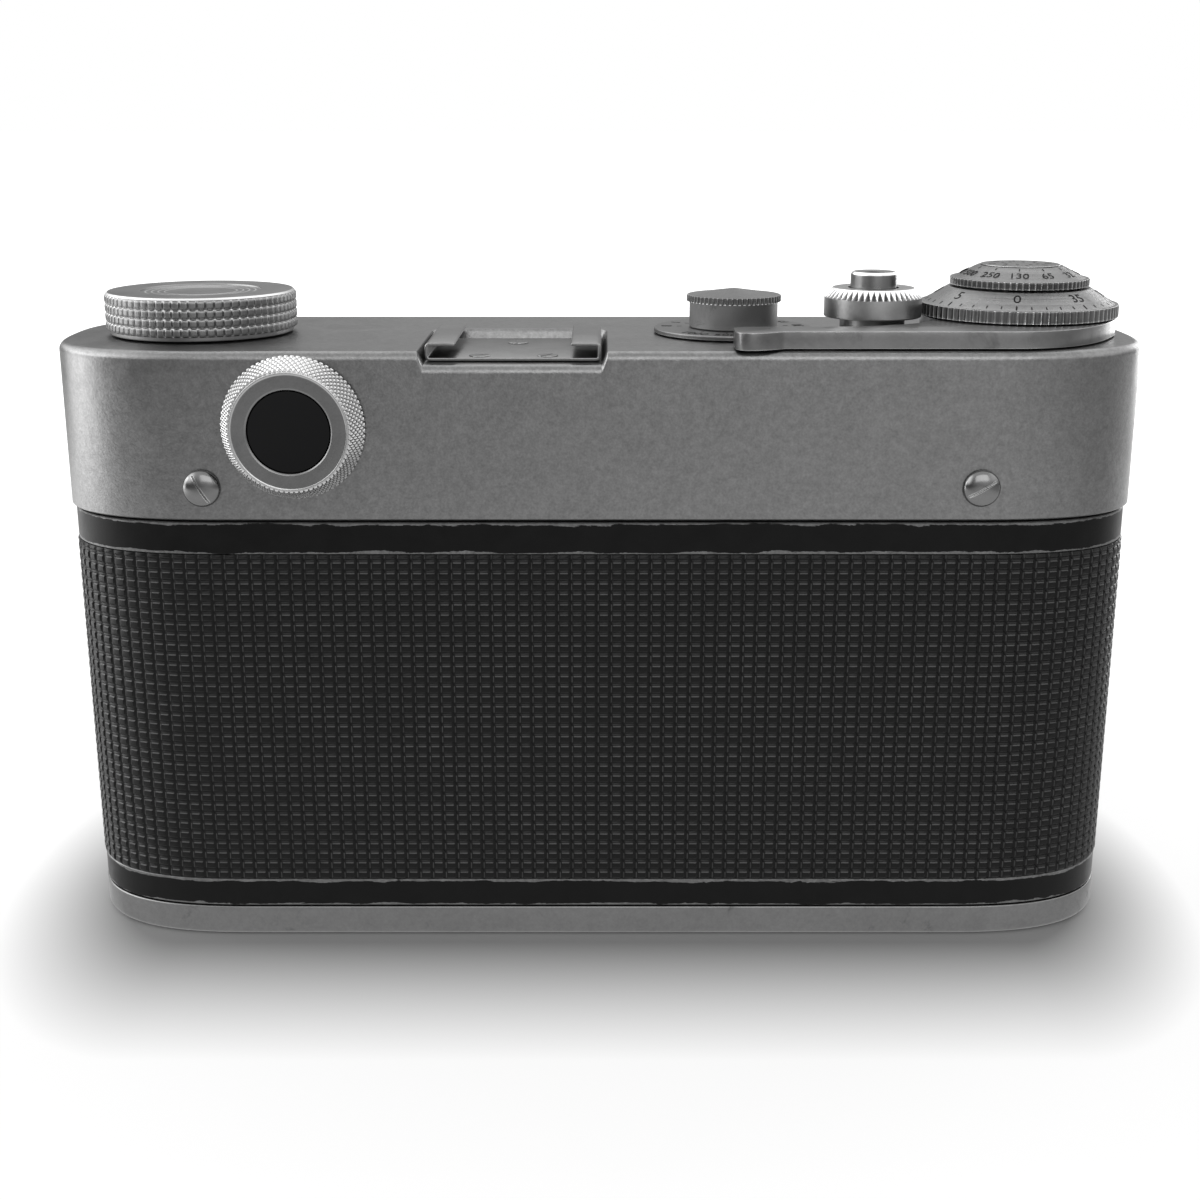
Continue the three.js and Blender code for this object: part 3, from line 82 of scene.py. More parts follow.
def triangle(t):
    # 0 at whole numbers, 1 half way between them
    return 1 - np.abs(2 * (t - np.floor(t)) - 1)


def stepsRound(a, count):
    # how many of a turn's even steps an angle has passed
    return a * count / (2 * np.pi)


def gridFaces(rows, columns, wrapRows=False, wrapColumns=False):
    # each face joins a grid point with the next column, the next row's next column and the next row
    i, j = np.meshgrid(
        np.arange(rows if wrapRows else rows - 1),
        np.arange(columns if wrapColumns else columns - 1), indexing="ij")
    nextRow, nextColumn = (i + 1) % rows, (j + 1) % columns
    corners = [i * columns + j, i * columns + nextColumn, nextRow * columns + nextColumn, nextRow * columns + j]
    return np.stack(corners, -1).reshape(-1, 4)


def volumeOf(points, faceSets):
    # a sixth of the sum of a . (b x c) over each face's fan of triangles
    total = 0.0
    for faces in faceSets:
        a = points[faces[:, 0]]
        for k in range(1, faces.shape[1] - 1):
            total += np.einsum("ij,ij->", a, np.cross(points[faces[:, k]], points[faces[:, k + 1]])) / 6
    return total


def shade(obj, sharpAngle):
    # smooth all over, but for the edges that turn by more than the angle
    data = obj.data
    data.polygons.foreach_set("use_smooth", np.ones(len(data.polygons), bool))
    data.set_sharp_from_angle(angle=math.radians(sharpAngle))
    data.update()


def meshObject(name, points, faceSets, pit=None, merge=False, sharpAngle=usualSharpAngle):
    # faces are turned over when the closed form's volume comes out negative; pit is each point's painted shade,
    # positive in grooves, and painted highlight, negative on crests
    points = np.asarray(points, float)
    if volumeOf(points, faceSets) < 0:
        faceSets = [faces[:, ::-1] for faces in faceSets]
    corners = np.concatenate([faces.ravel() for faces in faceSets]).astype(np.int32)
    sizes = np.concatenate([np.full(len(faces), faces.shape[1]) for faces in faceSets])
    starts = np.concatenate([[0], np.cumsum(sizes)[:-1]]).astype(np.int32)
    data = bpy.data.meshes.new(name)
    data.vertices.add(len(points))
    data.vertices.foreach_set("co", (points * mm).astype(np.float32).ravel())
    data.loops.add(len(corners))
    data.loops.foreach_set("vertex_index", corners)
    data.polygons.add(len(sizes))
    data.polygons.foreach_set("loop_start", starts)
    data.update(calc_edges=True)
    if pit is not None:
        data.attributes.new("pit", "FLOAT", "POINT").data.foreach_set("value", pit.astype(np.float32).ravel())
    if merge:
        work = bmesh.new()
        work.from_mesh(data)
        bmesh.ops.remove_doubles(work, verts=work.verts, dist=4e-6)
        work.to_mesh(data)
        work.free()
    obj = bpy.data.objects.new(name, data)
    scene.collection.objects.link(obj)
    shade(obj, sharpAngle)
    return obj


def settle(obj, sharpAngle):
    # the modifiers' result becomes the mesh itself
    graph = bpy.context.evaluated_depsgraph_get()
    made = bpy.data.meshes.new_from_object(obj.evaluated_get(graph))
    old = obj.data
    obj.modifiers.clear()
    obj.data = made
    bpy.data.meshes.remove(old)
    made.name = obj.name
    shade(obj, sharpAngle)
    return obj


def carve(obj, cutters, operation="DIFFERENCE", sharpAngle=usualSharpAngle):
    # each cutter is a (points, faces) pair; the piece keeps what lies outside them all
    tools = [meshObject("tool", *cutter[:2]) for cutter in cutters]
    for tool in tools:
        step = obj.modifiers.new("carve", "BOOLEAN")
        step.operation, step.solver, step.object = operation, "MANIFOLD", tool
    settle(obj, sharpAngle)
    for tool in tools:
        data = tool.data
        bpy.data.objects.remove(tool)
        bpy.data.meshes.remove(data)
    return obj


def easeEdges(obj, width, segments, angle):
    # edges that turn by more than the angle are rounded over the width, in so many steps
    step = obj.modifiers.new("ease", "BEVEL")
    step.width, step.segments = width * mm, segments
    step.limit_method, step.angle_limit = "ANGLE", math.radians(angle)
    return settle(obj, easedSharpAngle)


def soften(profile, radius, steps=3, closed=False):
    # each corner c becomes (1-t)^2 a + 2t(1-t) c + t^2 b, a and b lying a radius before and after it
    p = np.array(profile, float)
    before, after = np.roll(p, 1, 0), np.roll(p, -1, 0)
    back, forth = before - p, after - p
    backLength = np.linalg.norm(back, axis=1, keepdims=True) + 1e-9
    forthLength = np.linalg.norm(forth, axis=1, keepdims=True) + 1e-9
    a = p + back / backLength * np.minimum(radius, 0.45 * backLength)
    b = p + forth / forthLength * np.minimum(radius, 0.45 * forthLength)
    t = np.linspace(0, 1, steps + 1)[None, :, None]
    curve = (1 - t) ** 2 * a[:, None] + 2 * t * (1 - t) * p[:, None] + t * t * b[:, None]
    if closed:
        return curve.reshape(-1, 2)
    return np.vstack([p[:1], curve[1:-1].reshape(-1, 2), p[-1:]])


def turned(profile, count, relief=None):
    # point = (r cos a, r sin a, z), each profile point carried round the axis; relief(r, z, a) gives new r, z
    # and pit
    profile = np.array(profile, float)
    atStart, atEnd = profile[0, 0] == 0, profile[-1, 0] == 0
    ring = profile[1 if atStart else 0: -1 if atEnd else None]
    a = np.tile(np.arange(count) * 2 * np.pi / count, (len(ring), 1))
    r, z = np.repeat(ring[:, :1], count, 1), np.repeat(ring[:, 1:], count, 1)
    r, z, pit = relief(r, z, a) if relief else (r, z, 0 * r)
    points = np.stack([r * np.cos(a), r * np.sin(a), z], -1).reshape(-1, 3)
    faces = [gridFaces(len(ring), count, not atStart, True)]
    first = np.arange(count)
    last = first + (len(ring) - 1) * count
    poles = [(profile[0, 1], np.roll(first, -1), first)] if atStart else []
    poles += [(profile[-1, 1], last, np.roll(last, -1))] if atEnd else []
    for height, rim, other in poles:
        faces.append(np.stack([np.full(count, len(points)), rim, other], -1))
        points = np.vstack([points, [0, 0, height]])
    return points, faces, np.concatenate([pit.ravel(), np.zeros(len(poles))])


def stand(made, facing, x, y, z):
    # the turning axis points up (X, Y, Z), back (X, Z, -Y) or front (-X, Z, Y)
    points, *rest = made
    px, py, pz = points.T
    axes = {"up": (px, py, pz), "back": (px, -pz, py), "front": (-px, pz, py)}[facing]
    return np.stack(axes, -1) + np.array([x, y, z]), *rest


def rod(radius, low, high, facing, x, y, z, count=48):
    # a cylinder between two heights, stood along its axis at a place
    return stand(turned([(0, low), (radius, low), (radius, high), (0, high)], count), facing, x, y, z)


def block(x0, x1, y0, y1, z0, z1):
    # the eight corners and six faces of a box between its limits
    x, y, z = np.meshgrid([x0, x1], [y0, y1], [z0, z1], indexing="ij")
    faces = np.array([[0, 1, 3, 2], [4, 6, 7, 5], [0, 4, 5, 1], [2, 3, 7, 6], [0, 2, 6, 4], [1, 5, 7, 3]])
    return np.stack([x.ravel(), y.ravel(), z.ravel()], -1), [faces]


def slab(outline, low, high):
    # the outline repeated at two heights, walls between, one face over each end
    outline = np.array(outline, float)
    n = len(outline)
    points = np.vstack([np.column_stack([outline, np.full(n, h)]) for h in (low, high)])
    return points, [gridFaces(2, n, False, True), np.arange(n)[None, ::-1], np.arange(n, 2 * n)[None]]


def turnAbout(points, angle, x, y):
    # x and y turned by an angle about a vertical axis
    c, s = math.cos(angle), math.sin(angle)
    dx, dy = points[:, 0] - x, points[:, 1] - y
    return np.column_stack([x + c * dx - s * dy, y + s * dx + c * dy, points[:, 2:]])


def curveThrough(start, control, end, count):
    # (1-t)^2 start + 2t(1-t) control + t^2 end, without its last point
    t = np.linspace(0, 1, count, endpoint=False)[:, None]
    return (1 - t) ** 2 * np.array(start) + 2 * t * (1 - t) * np.array(control) + t * t * np.array(end)


# Plan of the body

plan = {
    "reach": 24.5, "squareness": 2.8, "seamY": 6.0, "seamGap": 0.1, "endSteps": 3001, "straightSteps": 400,
    "endColumns": 34,
}
coverLow, coverHigh = cadBox("top_cover")
halfLength, halfDepth = coverHigh[0], coverHigh[1]
flatHalf = halfLength - plan["reach"]


def planTable():
    # ends: x = flat + reach cos^(2/k) a, y = depth sin^(2/k) a; straights between them; arc length summed from
    # the rear middle
    ends, halves, power = plan["endSteps"], plan["straightSteps"], 2 / plan["squareness"]
    a = np.linspace(-np.pi / 2, np.pi / 2, ends)
    across, along = np.abs(np.cos(a)) ** power, np.sign(a) * np.abs(np.sin(a)) ** power
    across[[0, -1]] = 0
    half, front = np.linspace(0, 1, halves), np.linspace(1, -1, 2 * halves)
    flat = np.concatenate([half, np.ones(ends), front, -np.ones(ends), half - 1])
    c = np.concatenate([0 * half, across, 0 * front, -across, 0 * half])
    s = np.concatenate([0 * half - 1, along, 0 * front + 1, -along, 0 * half - 1])
    x, y = flat * flatHalf + c * plan["reach"], s * halfDepth
    length = np.concatenate([[0], np.cumsum(np.hypot(np.diff(x), np.diff(y)))])
    return length, flat, c, s


planLength, planFlat, planAcross, planAlong = planTable()
perimeter = planLength[-1]


def planXY(distance, inset):
    # x = flat share times the straight half, plus (reach - inset) times the end curve; y = (half depth - inset)
    # times its own
    distance = np.mod(distance, perimeter)
    flat, c, s = (np.interp(distance, planLength, v) for v in (planFlat, planAcross, planAlong))
    return flat * flatHalf + (plan["reach"] - inset) * c, (halfDepth - inset) * s


def distanceAtY(y):
    # arc length from the rear middle to where the right end reaches y
    side = (planFlat == 1) & (planAlong > -1) & (planAlong < 1)
    return np.interp(y / halfDepth, planAlong[side], planLength[side])


seamRear = distanceAtY(plan["seamY"] - plan["seamGap"])
seamFront = distanceAtY(plan["seamY"] + plan["seamGap"])


def planColumns(spacing, extra=()):
    # distances along the rear half, then the same places mirrored along the front half
    straight = np.linspace(-flatHalf, flatHalf, int(2 * flatHalf / spacing) + 1)
    end = np.linspace(flatHalf, perimeter / 4, plan["endColumns"])[1:]
    rear = np.unique(np.round(np.concatenate([-end, straight, end, np.array(extra, float)]), 5))
    return np.concatenate([rear, (perimeter / 2 - rear[1:-1])[::-1]])


# Materials

def feed(tree, target, values):
    # a socket is linked to the input, anything else becomes the input's own value
    for key, value in values.items():
        if isinstance(value, bpy.types.NodeSocket):
            tree.links.new(value, target.inputs[key])
        else:
            target.inputs[key].default_value = value


def node(tree, kind, inputs=None, **settings):
    # a new node with its settings, its inputs fed
    made = tree.nodes.new(kind)
    for key, value in settings.items():
        setattr(made, key, value)
    feed(tree, made, inputs or {})
    return made


def calc(tree, operation, a, b=0.0, c=0.0, clamp=False):
    # one sum, product or other operation on up to three values
    return node(tree, "ShaderNodeMath", {0: a, 1: b, 2: c}, operation=operation, use_clamp=clamp).outputs[0]


def ramp(tree, value, low, high, toLow=0.0, toHigh=1.0):
    # a straight line from toLow at low to toHigh at high, held beyond both
    made = node(tree, "ShaderNodeMapRange", {0: value, 1: low, 2: high, 3: toLow, 4: toHigh}, clamp=True)
    return made.outputs[0]


def mixValue(tree, share, a, b):
    # a plus the share times b less a
    return node(tree, "ShaderNodeMix", {0: share, 2: a, 3: b}).outputs[0]


def grey(value):
    # one number for red, green and blue, or a colour as it is, both opaque
    return (*value, 1) if isinstance(value, tuple) else (value, value, value, 1)


def blend(tree, share, a, b):
    # a to b, each a socket, a grey or a colour
    a, b = (v if isinstance(v, bpy.types.NodeSocket) else grey(v) for v in (a, b))
    return node(tree, "ShaderNodeMix", {0: share, 6: a, 7: b}, data_type="RGBA").outputs[2]


def noise(tree, vector, scale, detail=2.0, roughness=0.55, distortion=0.0):
    # a cloud from 0 to 1 with so many spots to the metre, and finer ones over it
    inputs = {"Vector": vector, "Scale": scale, "Detail": detail, "Roughness": roughness,
              "Distortion": distortion}
    return node(tree, "ShaderNodeTexNoise", inputs).outputs[0]


def newGroup(name, inputs, outputs):
    # inputs are (name, kind, value); outputs are (name, kind)
    tree = bpy.data.node_groups.new(name, "ShaderNodeTree")
    for label, kind, value in inputs:
        socket = tree.interface.new_socket(label, in_out="INPUT", socket_type="NodeSocket" + kind)
        if value is not None:
            socket.default_value = value
    for label, kind in outputs:
        tree.interface.new_socket(label, in_out="OUTPUT", socket_type="NodeSocket" + kind)
    return tree, tree.nodes.new("NodeGroupInput").outputs, tree.nodes.new("NodeGroupOutput")


grainLook = {
    "fineShare": 0.6, "coarseShare": 0.4, "coarseScale": 0.35, "window": (0.3, 0.7), "marksScale": 45.0,
    "marksWindow": (0.52, 0.72),
}
edgeLook = {"samples": 4, "breakScale": 900.0, "breakWindow": (0.3, 0.6), "breakLeast": 0.55}
ringLook = {"waveShare": 0.3, "unevenScale": 1.3}
grimeLook = {"startAt": 0.75, "fullAt": 0.8, "reach": 0.5}


def makeGrain():
    # blasted and plated metal: fine speckle and soft mottling round a middle of 0.5, and faint handling marks
    tree, source, result = newGroup(
        "satinGrain",
        [("Vector", "Vector", None), ("Speckle Scale", "Float", 5000.0), ("Mottle Scale", "Float", 220.0)],
        [("Speckle", "Float"), ("Mottle", "Float"), ("Marks", "Float")])
    k, place = grainLook, source["Vector"]
    fine = noise(tree, place, source["Speckle Scale"], 2.0, 0.6)
    coarse = noise(tree, place, calc(tree, "MULTIPLY", source["Speckle Scale"], k["coarseScale"]), 1.0)
    coarse = calc(tree, "MULTIPLY", coarse, k["coarseShare"])
    speckle = calc(tree, "ADD", calc(tree, "MULTIPLY", fine, k["fineShare"]), coarse)
    mottle = noise(tree, place, source["Mottle Scale"], 4.0, 0.6, 0.4)
    marks = noise(tree, place, k["marksScale"], 5.0, 0.65, 1.2)
    feed(tree, result, {
        "Speckle": ramp(tree, speckle, *k["window"]), "Mottle": ramp(tree, mottle, *k["window"]),
        "Marks": ramp(tree, marks, *k["marksWindow"])})
    return tree


def makeEdges():
    # where the surface turns sharply: one less the dot product of the rounded and the plain normal, broken up
    # by noise
    tree, source, result = newGroup(
        "wornEdges", [("Vector", "Vector", None), ("Radius", "Float", 0.00025), ("Gain", "Float", 8.0)],
        [("Edge", "Float")])
    k = edgeLook
    rounded = node(tree, "ShaderNodeBevel", {"Radius": source["Radius"]}, samples=k["samples"]).outputs[0]
    plain = node(tree, "ShaderNodeNewGeometry").outputs["Normal"]
    dot = node(tree, "ShaderNodeVectorMath", {0: rounded, 1: plain}, operation="DOT_PRODUCT").outputs["Value"]
    edge = calc(tree, "MULTIPLY", calc(tree, "SUBTRACT", 1.0, dot), source["Gain"])
    patches = noise(tree, source["Vector"], k["breakScale"], 3.0)
    broken = ramp(tree, patches, *k["breakWindow"], k["breakLeast"], 1.0)
    feed(tree, result, {"Edge": calc(tree, "MULTIPLY", edge, broken, clamp=True)})
    return tree


def makeRings():
    # lathe marks: a sine of the distance from the axis, with a slower noise over it
    tree, source, result = newGroup(
        "latheRings", [("Vector", "Vector", None), ("Pitch", "Float", 0.00012)], [("Height", "Float")])
    k = ringLook
    flat = node(tree, "ShaderNodeVectorMath", {0: source["Vector"], 1: (1, 1, 0)},
                operation="MULTIPLY").outputs[0]
    radius = node(tree, "ShaderNodeVectorMath", {0: flat}, operation="LENGTH").outputs["Value"]
    rings = calc(tree, "DIVIDE", radius, source["Pitch"])
    wave = calc(tree, "SINE", calc(tree, "MULTIPLY", rings, 2 * math.pi))
    uneven = node(tree, "ShaderNodeTexNoise", {"W": rings, "Scale": k["unevenScale"], "Detail": 3.0},
                  noise_dimensions="1D").outputs[0]
    feed(tree, result, {"Height": calc(tree, "ADD", calc(tree, "MULTIPLY", wave, k["waveShare"]), uneven)})
    return tree


def makeGrime():
    # dirt that has settled in blotches, denser where the noise is high
    tree, source, result = newGroup(
        "settledGrime", [("Vector", "Vector", None), ("Scale", "Float", 300.0), ("Amount", "Float", 0.3)],
        [("Grime", "Float")])
    k = grimeLook
    patches = noise(tree, source["Vector"], source["Scale"], 6.0, 0.7, 0.8)
    low = calc(tree, "SUBTRACT", k["startAt"], calc(tree, "MULTIPLY", source["Amount"], k["reach"]))
    made = node(tree, "ShaderNodeMapRange", {0: patches, 1: low, 2: k["fullAt"]}, clamp=True,
                interpolation_type="SMOOTHSTEP")
    feed(tree, result, {"Grime": made.outputs[0]})
    return tree


grainGroup, edgeGroup, ringGroup, grimeGroup = makeGrain(), makeEdges(), makeRings(), makeGrime()


def groupNode(tree, group, inputs):
    # what a group makes of its inputs
    return node(tree, "ShaderNodeGroup", inputs, node_tree=group).outputs


def grainNode(tree, place, speckleScale, mottleScale):
    # the grain group's speckle, mottle and marks
    inputs = {"Vector": place, "Speckle Scale": speckleScale, "Mottle Scale": mottleScale}
    return groupNode(tree, grainGroup, inputs)


def edgeNode(tree, place, look):
    # how near an edge lies, by the look's radius and gain
    inputs = {"Vector": place, "Radius": look["edgeRadius"], "Gain": look["edgeGain"]}
    return groupNode(tree, edgeGroup, inputs)["Edge"]


def bumpNode(tree, strength, depth, height, **more):
    # the normal of a surface raised by height times depth
    inputs = {"Strength": strength, "Distance": depth, "Height": height, **more}
    return node(tree, "ShaderNodeBump", inputs).outputs[0]


def newMaterial(name):
    # an empty material, its tree, its shader and the object's own coordinates
    material = bpy.data.materials.new(name)
    material.use_nodes = True
    tree = material.node_tree
    shader = tree.nodes["Principled BSDF"]
    place = node(tree, "ShaderNodeTexCoord").outputs["Object"]
    return material, tree, shader, place


# crest is the colour of the painted highlight on crests; pit and the grime-and-shade colour give the painted
# shade in grooves
metalLook = {
    "colour": 0.2, "roughness": 0.34, "speckle": 0.2, "mottle": 0.1, "marks": 0.08, "bump": 0.16, "crest": 0.0,
    "speckleScale": 3400.0, "mottleScale": 220.0, "edgeColour": 0.7, "edgeRadius": 0.00022, "edgeGain": 5.0,
    "edgeShare": 0.85, "grime": 0.25, "grimeColour": 0.05, "grimeScale": 260.0, "grimeShare": 0.75, "pit": 0.7,
    "rings": 0.0, "ringPitch": 0.00016, "ringDepth": 0.00003, "bumpDepth": 0.00005, "axis": None,
    "facing": "up", "metallic": 1.0, "turnedSheen": 0.0, "mottleRough": 0.08, "dirtAndShadeRough": 0.2,
    "marksRough": 0.05, "edgeRough": -0.06,
}


def metalMaterial(name, **changes):
    # colour = base x speckle x mottling; lighter on crests, a painted highlight, and on edges, wear with a
    # painted highlight; darker in grooves, a painted shade, and in grime. The pit attribute runs from -1 on a
    # crest to 1 in a groove
    look = {**metalLook, **changes}
    material, tree, shader, place = newMaterial(name)
    grain = grainNode(tree, place, look["speckleScale"], look["mottleScale"])
    grime = groupNode(tree, grimeGroup,
                      {"Vector": place, "Scale": look["grimeScale"], "Amount": look["grime"]})["Grime"]
    pit = node(tree, "ShaderNodeAttribute", attribute_name="pit").outputs["Fac"]
    tone = calc(tree, "MULTIPLY_ADD", grain["Speckle"], look["speckle"], 1 - look["speckle"] / 2)
    mottling = calc(tree, "MULTIPLY_ADD", grain["Mottle"], look["mottle"], 1 - look["mottle"] / 2)
    tone = calc(tree, "MULTIPLY", tone, mottling)
    tone = calc(tree, "MULTIPLY", tone, calc(tree, "MULTIPLY_ADD", grain["Marks"], -look["marks"], 1.0))
    colour = node(tree, "ShaderNodeVectorMath", {0: grey(look["colour"])[:3], "Scale": tone},
                  operation="SCALE").outputs[0]
    # crests blend towards the crest colour: a painted highlight
    if look["crest"]:
        colour = blend(tree, calc(tree, "MULTIPLY", pit, -1.0, clamp=True), colour, look["crest"])
    # real grime blotches, and grooves darkened by the pit as painted shade, both blend towards one colour
    dirtAndShade = calc(tree, "MULTIPLY", grime, look["grimeShare"])
    dirtAndShade = calc(tree, "MAXIMUM", dirtAndShade, calc(tree, "MULTIPLY", pit, look["pit"]))
    colour = blend(tree, dirtAndShade, colour, look["grimeColour"])
    mottleRough = look["mottleRough"]
    rough = calc(tree, "MULTIPLY_ADD", grain["Mottle"], mottleRough, look["roughness"] - mottleRough / 2)
    rough = calc(tree, "MULTIPLY_ADD", dirtAndShade, look["dirtAndShadeRough"], rough)
    rough = calc(tree, "MULTIPLY_ADD", grain["Marks"], look["marksRough"], rough)
    # edges lighten towards the edge colour: wear, together with a painted highlight along them
    if look["edgeGain"]:
        edge = edgeNode(tree, place, look)
        colour = blend(tree, calc(tree, "MULTIPLY", edge, look["edgeShare"]), colour, look["edgeColour"])
        rough = calc(tree, "MULTIPLY_ADD", edge, look["edgeRough"], rough)
    bump = bumpNode(tree, look["bump"], look["bumpDepth"], grain["Speckle"])
    if look["rings"]:
        centre = node(tree, "ShaderNodeVectorMath", {0: place, 1: tuple(np.array(look["axis"]) * mm)},
                      operation="SUBTRACT").outputs[0]
        tilt = 0 if look["facing"] == "up" else math.pi / 2
        across = node(tree, "ShaderNodeMapping", {"Vector": centre, "Rotation": (tilt, 0, 0)}).outputs[0]
        rings = groupNode(tree, ringGroup, {"Vector": across, "Pitch": look["ringPitch"]})["Height"]
        bump = bumpNode(tree, look["rings"], look["ringDepth"], rings, Normal=bump)
    feed(tree, shader, {"Base Color": colour, "Roughness": rough, "Metallic": look["metallic"], "Normal": bump})
    if look["turnedSheen"]:
        # lathe work spreads the sheen across its rings
        around = node(tree, "ShaderNodeTangent", direction_type="RADIAL", axis="Z").outputs[0]
        feed(tree, shader, {"Anisotropic": look["turnedSheen"], "Tangent": around})
    return material


paintLook = {
    "colour": 0.004, "roughness": 0.38, "bump": 0.12, "edgeGain": 7.0, "edgeRadius": 0.00022, "chip": 0.35,
    "specular": 0.13, "levels": (), "levelGain": 0.42, "lostAt": (0.765, 0.785), "bareLow": 0.1,
    "bareHigh": 0.19, "bareMetallic": 0.85, "bareRough": 0.08, "thickness": 1.6, "speckleScale": 2600.0,
    "mottleScale": 320.0, "stripStretch": 2.6, "stripScale": 120.0, "raggedScale": 420.0, "mottleRough": 0.12,
    "bumpDepth": 0.00005,
}


def paintMaterial(name, **changes):
    # black enamel: where an edge or a level along z has lost its paint, grey metal shows through
    look = {**paintLook, **changes}
    material, tree, shader, place = newMaterial(name)
    grain = grainNode(tree, place, look["speckleScale"], look["mottleScale"])
    worn = metallic = 0.0
    if look["edgeGain"]:
        ragged = noise(tree, place, look["raggedScale"], 6.0, 0.7, 1.0)
        chipped = ramp(tree, ragged, 0.5 - look["chip"] * 0.25, 0.62 - look["chip"] * 0.1)
        worn = calc(tree, "MULTIPLY", edgeNode(tree, place, look), chipped)
    if look["levels"]:
        height = node(tree, "ShaderNodeSeparateXYZ", {0: place}).outputs[2]
        long = node(tree, "ShaderNodeMapping",
                    {"Vector": place, "Scale": (1, 1, look["stripStretch"])}).outputs[0]
        strips = noise(tree, long, look["stripScale"], 8.0, 0.72, 0.6)
    for level, reach in look["levels"]:
        away = calc(tree, "ABSOLUTE", calc(tree, "SUBTRACT", height, level * mm))
        near = calc(tree, "SUBTRACT", 1.0, calc(tree, "DIVIDE", away, reach * mm), clamp=True)
        lost = ramp(tree, calc(tree, "MULTIPLY_ADD", near, look["levelGain"], strips), *look["lostAt"])
        worn = calc(tree, "MAXIMUM", worn, lost)
    if look["edgeGain"] or look["levels"]:
        metallic = calc(tree, "MULTIPLY", worn, look["bareMetallic"])
    base = blend(tree, grain["Mottle"], look["colour"] * 0.75, look["colour"] * 1.35)
    bare = blend(tree, grain["Speckle"], look["bareLow"], look["bareHigh"])
    mottleRough = look["mottleRough"]
    rough = calc(tree, "MULTIPLY_ADD", grain["Mottle"], mottleRough, look["roughness"] - mottleRough / 2)
    thick = calc(tree, "MULTIPLY_ADD", worn, -look["thickness"], grain["Speckle"])
    feed(tree, shader, {
        "Base Color": blend(tree, worn, base, bare), "Metallic": metallic,
        "Specular IOR Level": look["specular"],
        "Roughness": calc(tree, "MULTIPLY_ADD", worn, look["bareRough"], rough),
        "Normal": bumpNode(tree, look["bump"], look["bumpDepth"], thick)})
    return material


coveringLook = {
    "speckleScale": 3600.0, "mottleScale": 240.0, "stud": (0.29, 0.29, 0.04), "studSide": (0.42, 0.28, 0.05),
    "studSideShift": 0.2, "above": (0.51, 0.045), "ridge": (0.67, 0.02), "below": (0.95, 0.02),
    "left": (0.87, 0.03), "leftShare": 0.75, "faintShare": 0.42, "cutAt": (0.775, 0.75),
    "cutWidth": (0.0, 0.05, 0.04), "cutLength": (0.0, 0.26, 0.06), "acrossCut": (1.44, 0.68),
    "alongCut": (0.83, 1.17), "base": (0.002, 0.0035), "speckled": 0.007, "rubbedHighlight": 0.085, "inCut": 0.001,
    "specular": 0.17, "roughness": 0.3, "mottleRough": 0.12, "cutRough": 0.4, "cutDepth": 2.5, "bump": 0.3,
    "bumpDepth": 0.00003,
}


def band(tree, value, middle, half, soft=0.02):
    # 1 within half a width of the middle, falling to 0 over the soft margin
    away = calc(tree, "ABSOLUTE", calc(tree, "SUBTRACT", value, middle))
    return ramp(tree, away, half, half + soft, 1.0, 0.0)


def coveringMaterial(name):
    # the map counts cells: u and v run from the stud's lower left corner. Lighter lines above and left of each
    # stud, and faint ones along the ridge and below it, are painted highlights that also stand for rubbing; a
    # black cut slanting down across the grooves' crossing is painted shade
    k = coveringLook
    material, tree, shader, place = newMaterial(name)
    cells = node(tree, "ShaderNodeUVMap", uv_map="cells").outputs[0]
    part = node(tree, "ShaderNodeSeparateXYZ", {0: cells}).outputs
    u, v = (calc(tree, "FRACT", part[i]) for i in (0, 1))
    lifted = calc(tree, "FRACT", calc(tree, "ADD", part[1], k["studSideShift"]))
    grain = grainNode(tree, place, k["speckleScale"], k["mottleScale"])
    overStud = band(tree, u, *k["stud"])
    above, ridge, below = (
        calc(tree, "MULTIPLY", band(tree, v, *k[which]), overStud) for which in ("above", "ridge", "below"))
    left = calc(tree, "MULTIPLY", band(tree, u, *k["left"]), band(tree, lifted, *k["studSide"]))
    lines = calc(tree, "MAXIMUM", above, calc(tree, "MULTIPLY", left, k["leftShare"]))
    faint = calc(tree, "MULTIPLY", calc(tree, "MAXIMUM", ridge, below), k["faintShare"])
    lines = calc(tree, "MAXIMUM", lines, faint)
    lines = calc(tree, "MULTIPLY", lines, calc(tree, "MULTIPLY_ADD", grain["Mottle"], 0.6, 0.5))
    du, dv = calc(tree, "SUBTRACT", u, k["cutAt"][0]), calc(tree, "SUBTRACT", v, k["cutAt"][1])
    across, along = (
        calc(tree, operation, calc(tree, "MULTIPLY", du, shares[0]), calc(tree, "MULTIPLY", dv, shares[1]))
        for operation, shares in (("ADD", k["acrossCut"]), ("SUBTRACT", k["alongCut"])))
    cut = calc(tree, "MULTIPLY", band(tree, across, *k["cutWidth"]), band(tree, along, *k["cutLength"]))
    base = blend(tree, grain["Mottle"], *k["base"])
    base = blend(tree, calc(tree, "MULTIPLY", grain["Speckle"], 0.4), base, k["speckled"])
    base = blend(tree, lines, base, k["rubbedHighlight"])
    rough = calc(tree, "MULTIPLY_ADD", grain["Mottle"], k["mottleRough"], k["roughness"])
    height = calc(tree, "MULTIPLY_ADD", cut, -k["cutDepth"], grain["Speckle"])
    feed(tree, shader, {
        "Base Color": blend(tree, cut, base, k["inCut"]), "Specular IOR Level": k["specular"],
        "Roughness": calc(tree, "MULTIPLY_ADD", cut, k["cutRough"], rough),
        "Normal": bumpNode(tree, k["bump"], k["bumpDepth"], height)})
    return material


glassLook = {
    "colour": (0.012, 0.013, 0.02), "roughness": 0.03, "coat": 0.6, "tint": (0.35, 0.3, 0.55), "specular": 0.5,
    "smearLift": 1.25, "smearRough": 0.05, "coatRoughness": 0.02, "bump": 0.02, "bumpDepth": 0.0001,
    "speckleScale": 900.0, "mottleScale": 140.0,
}


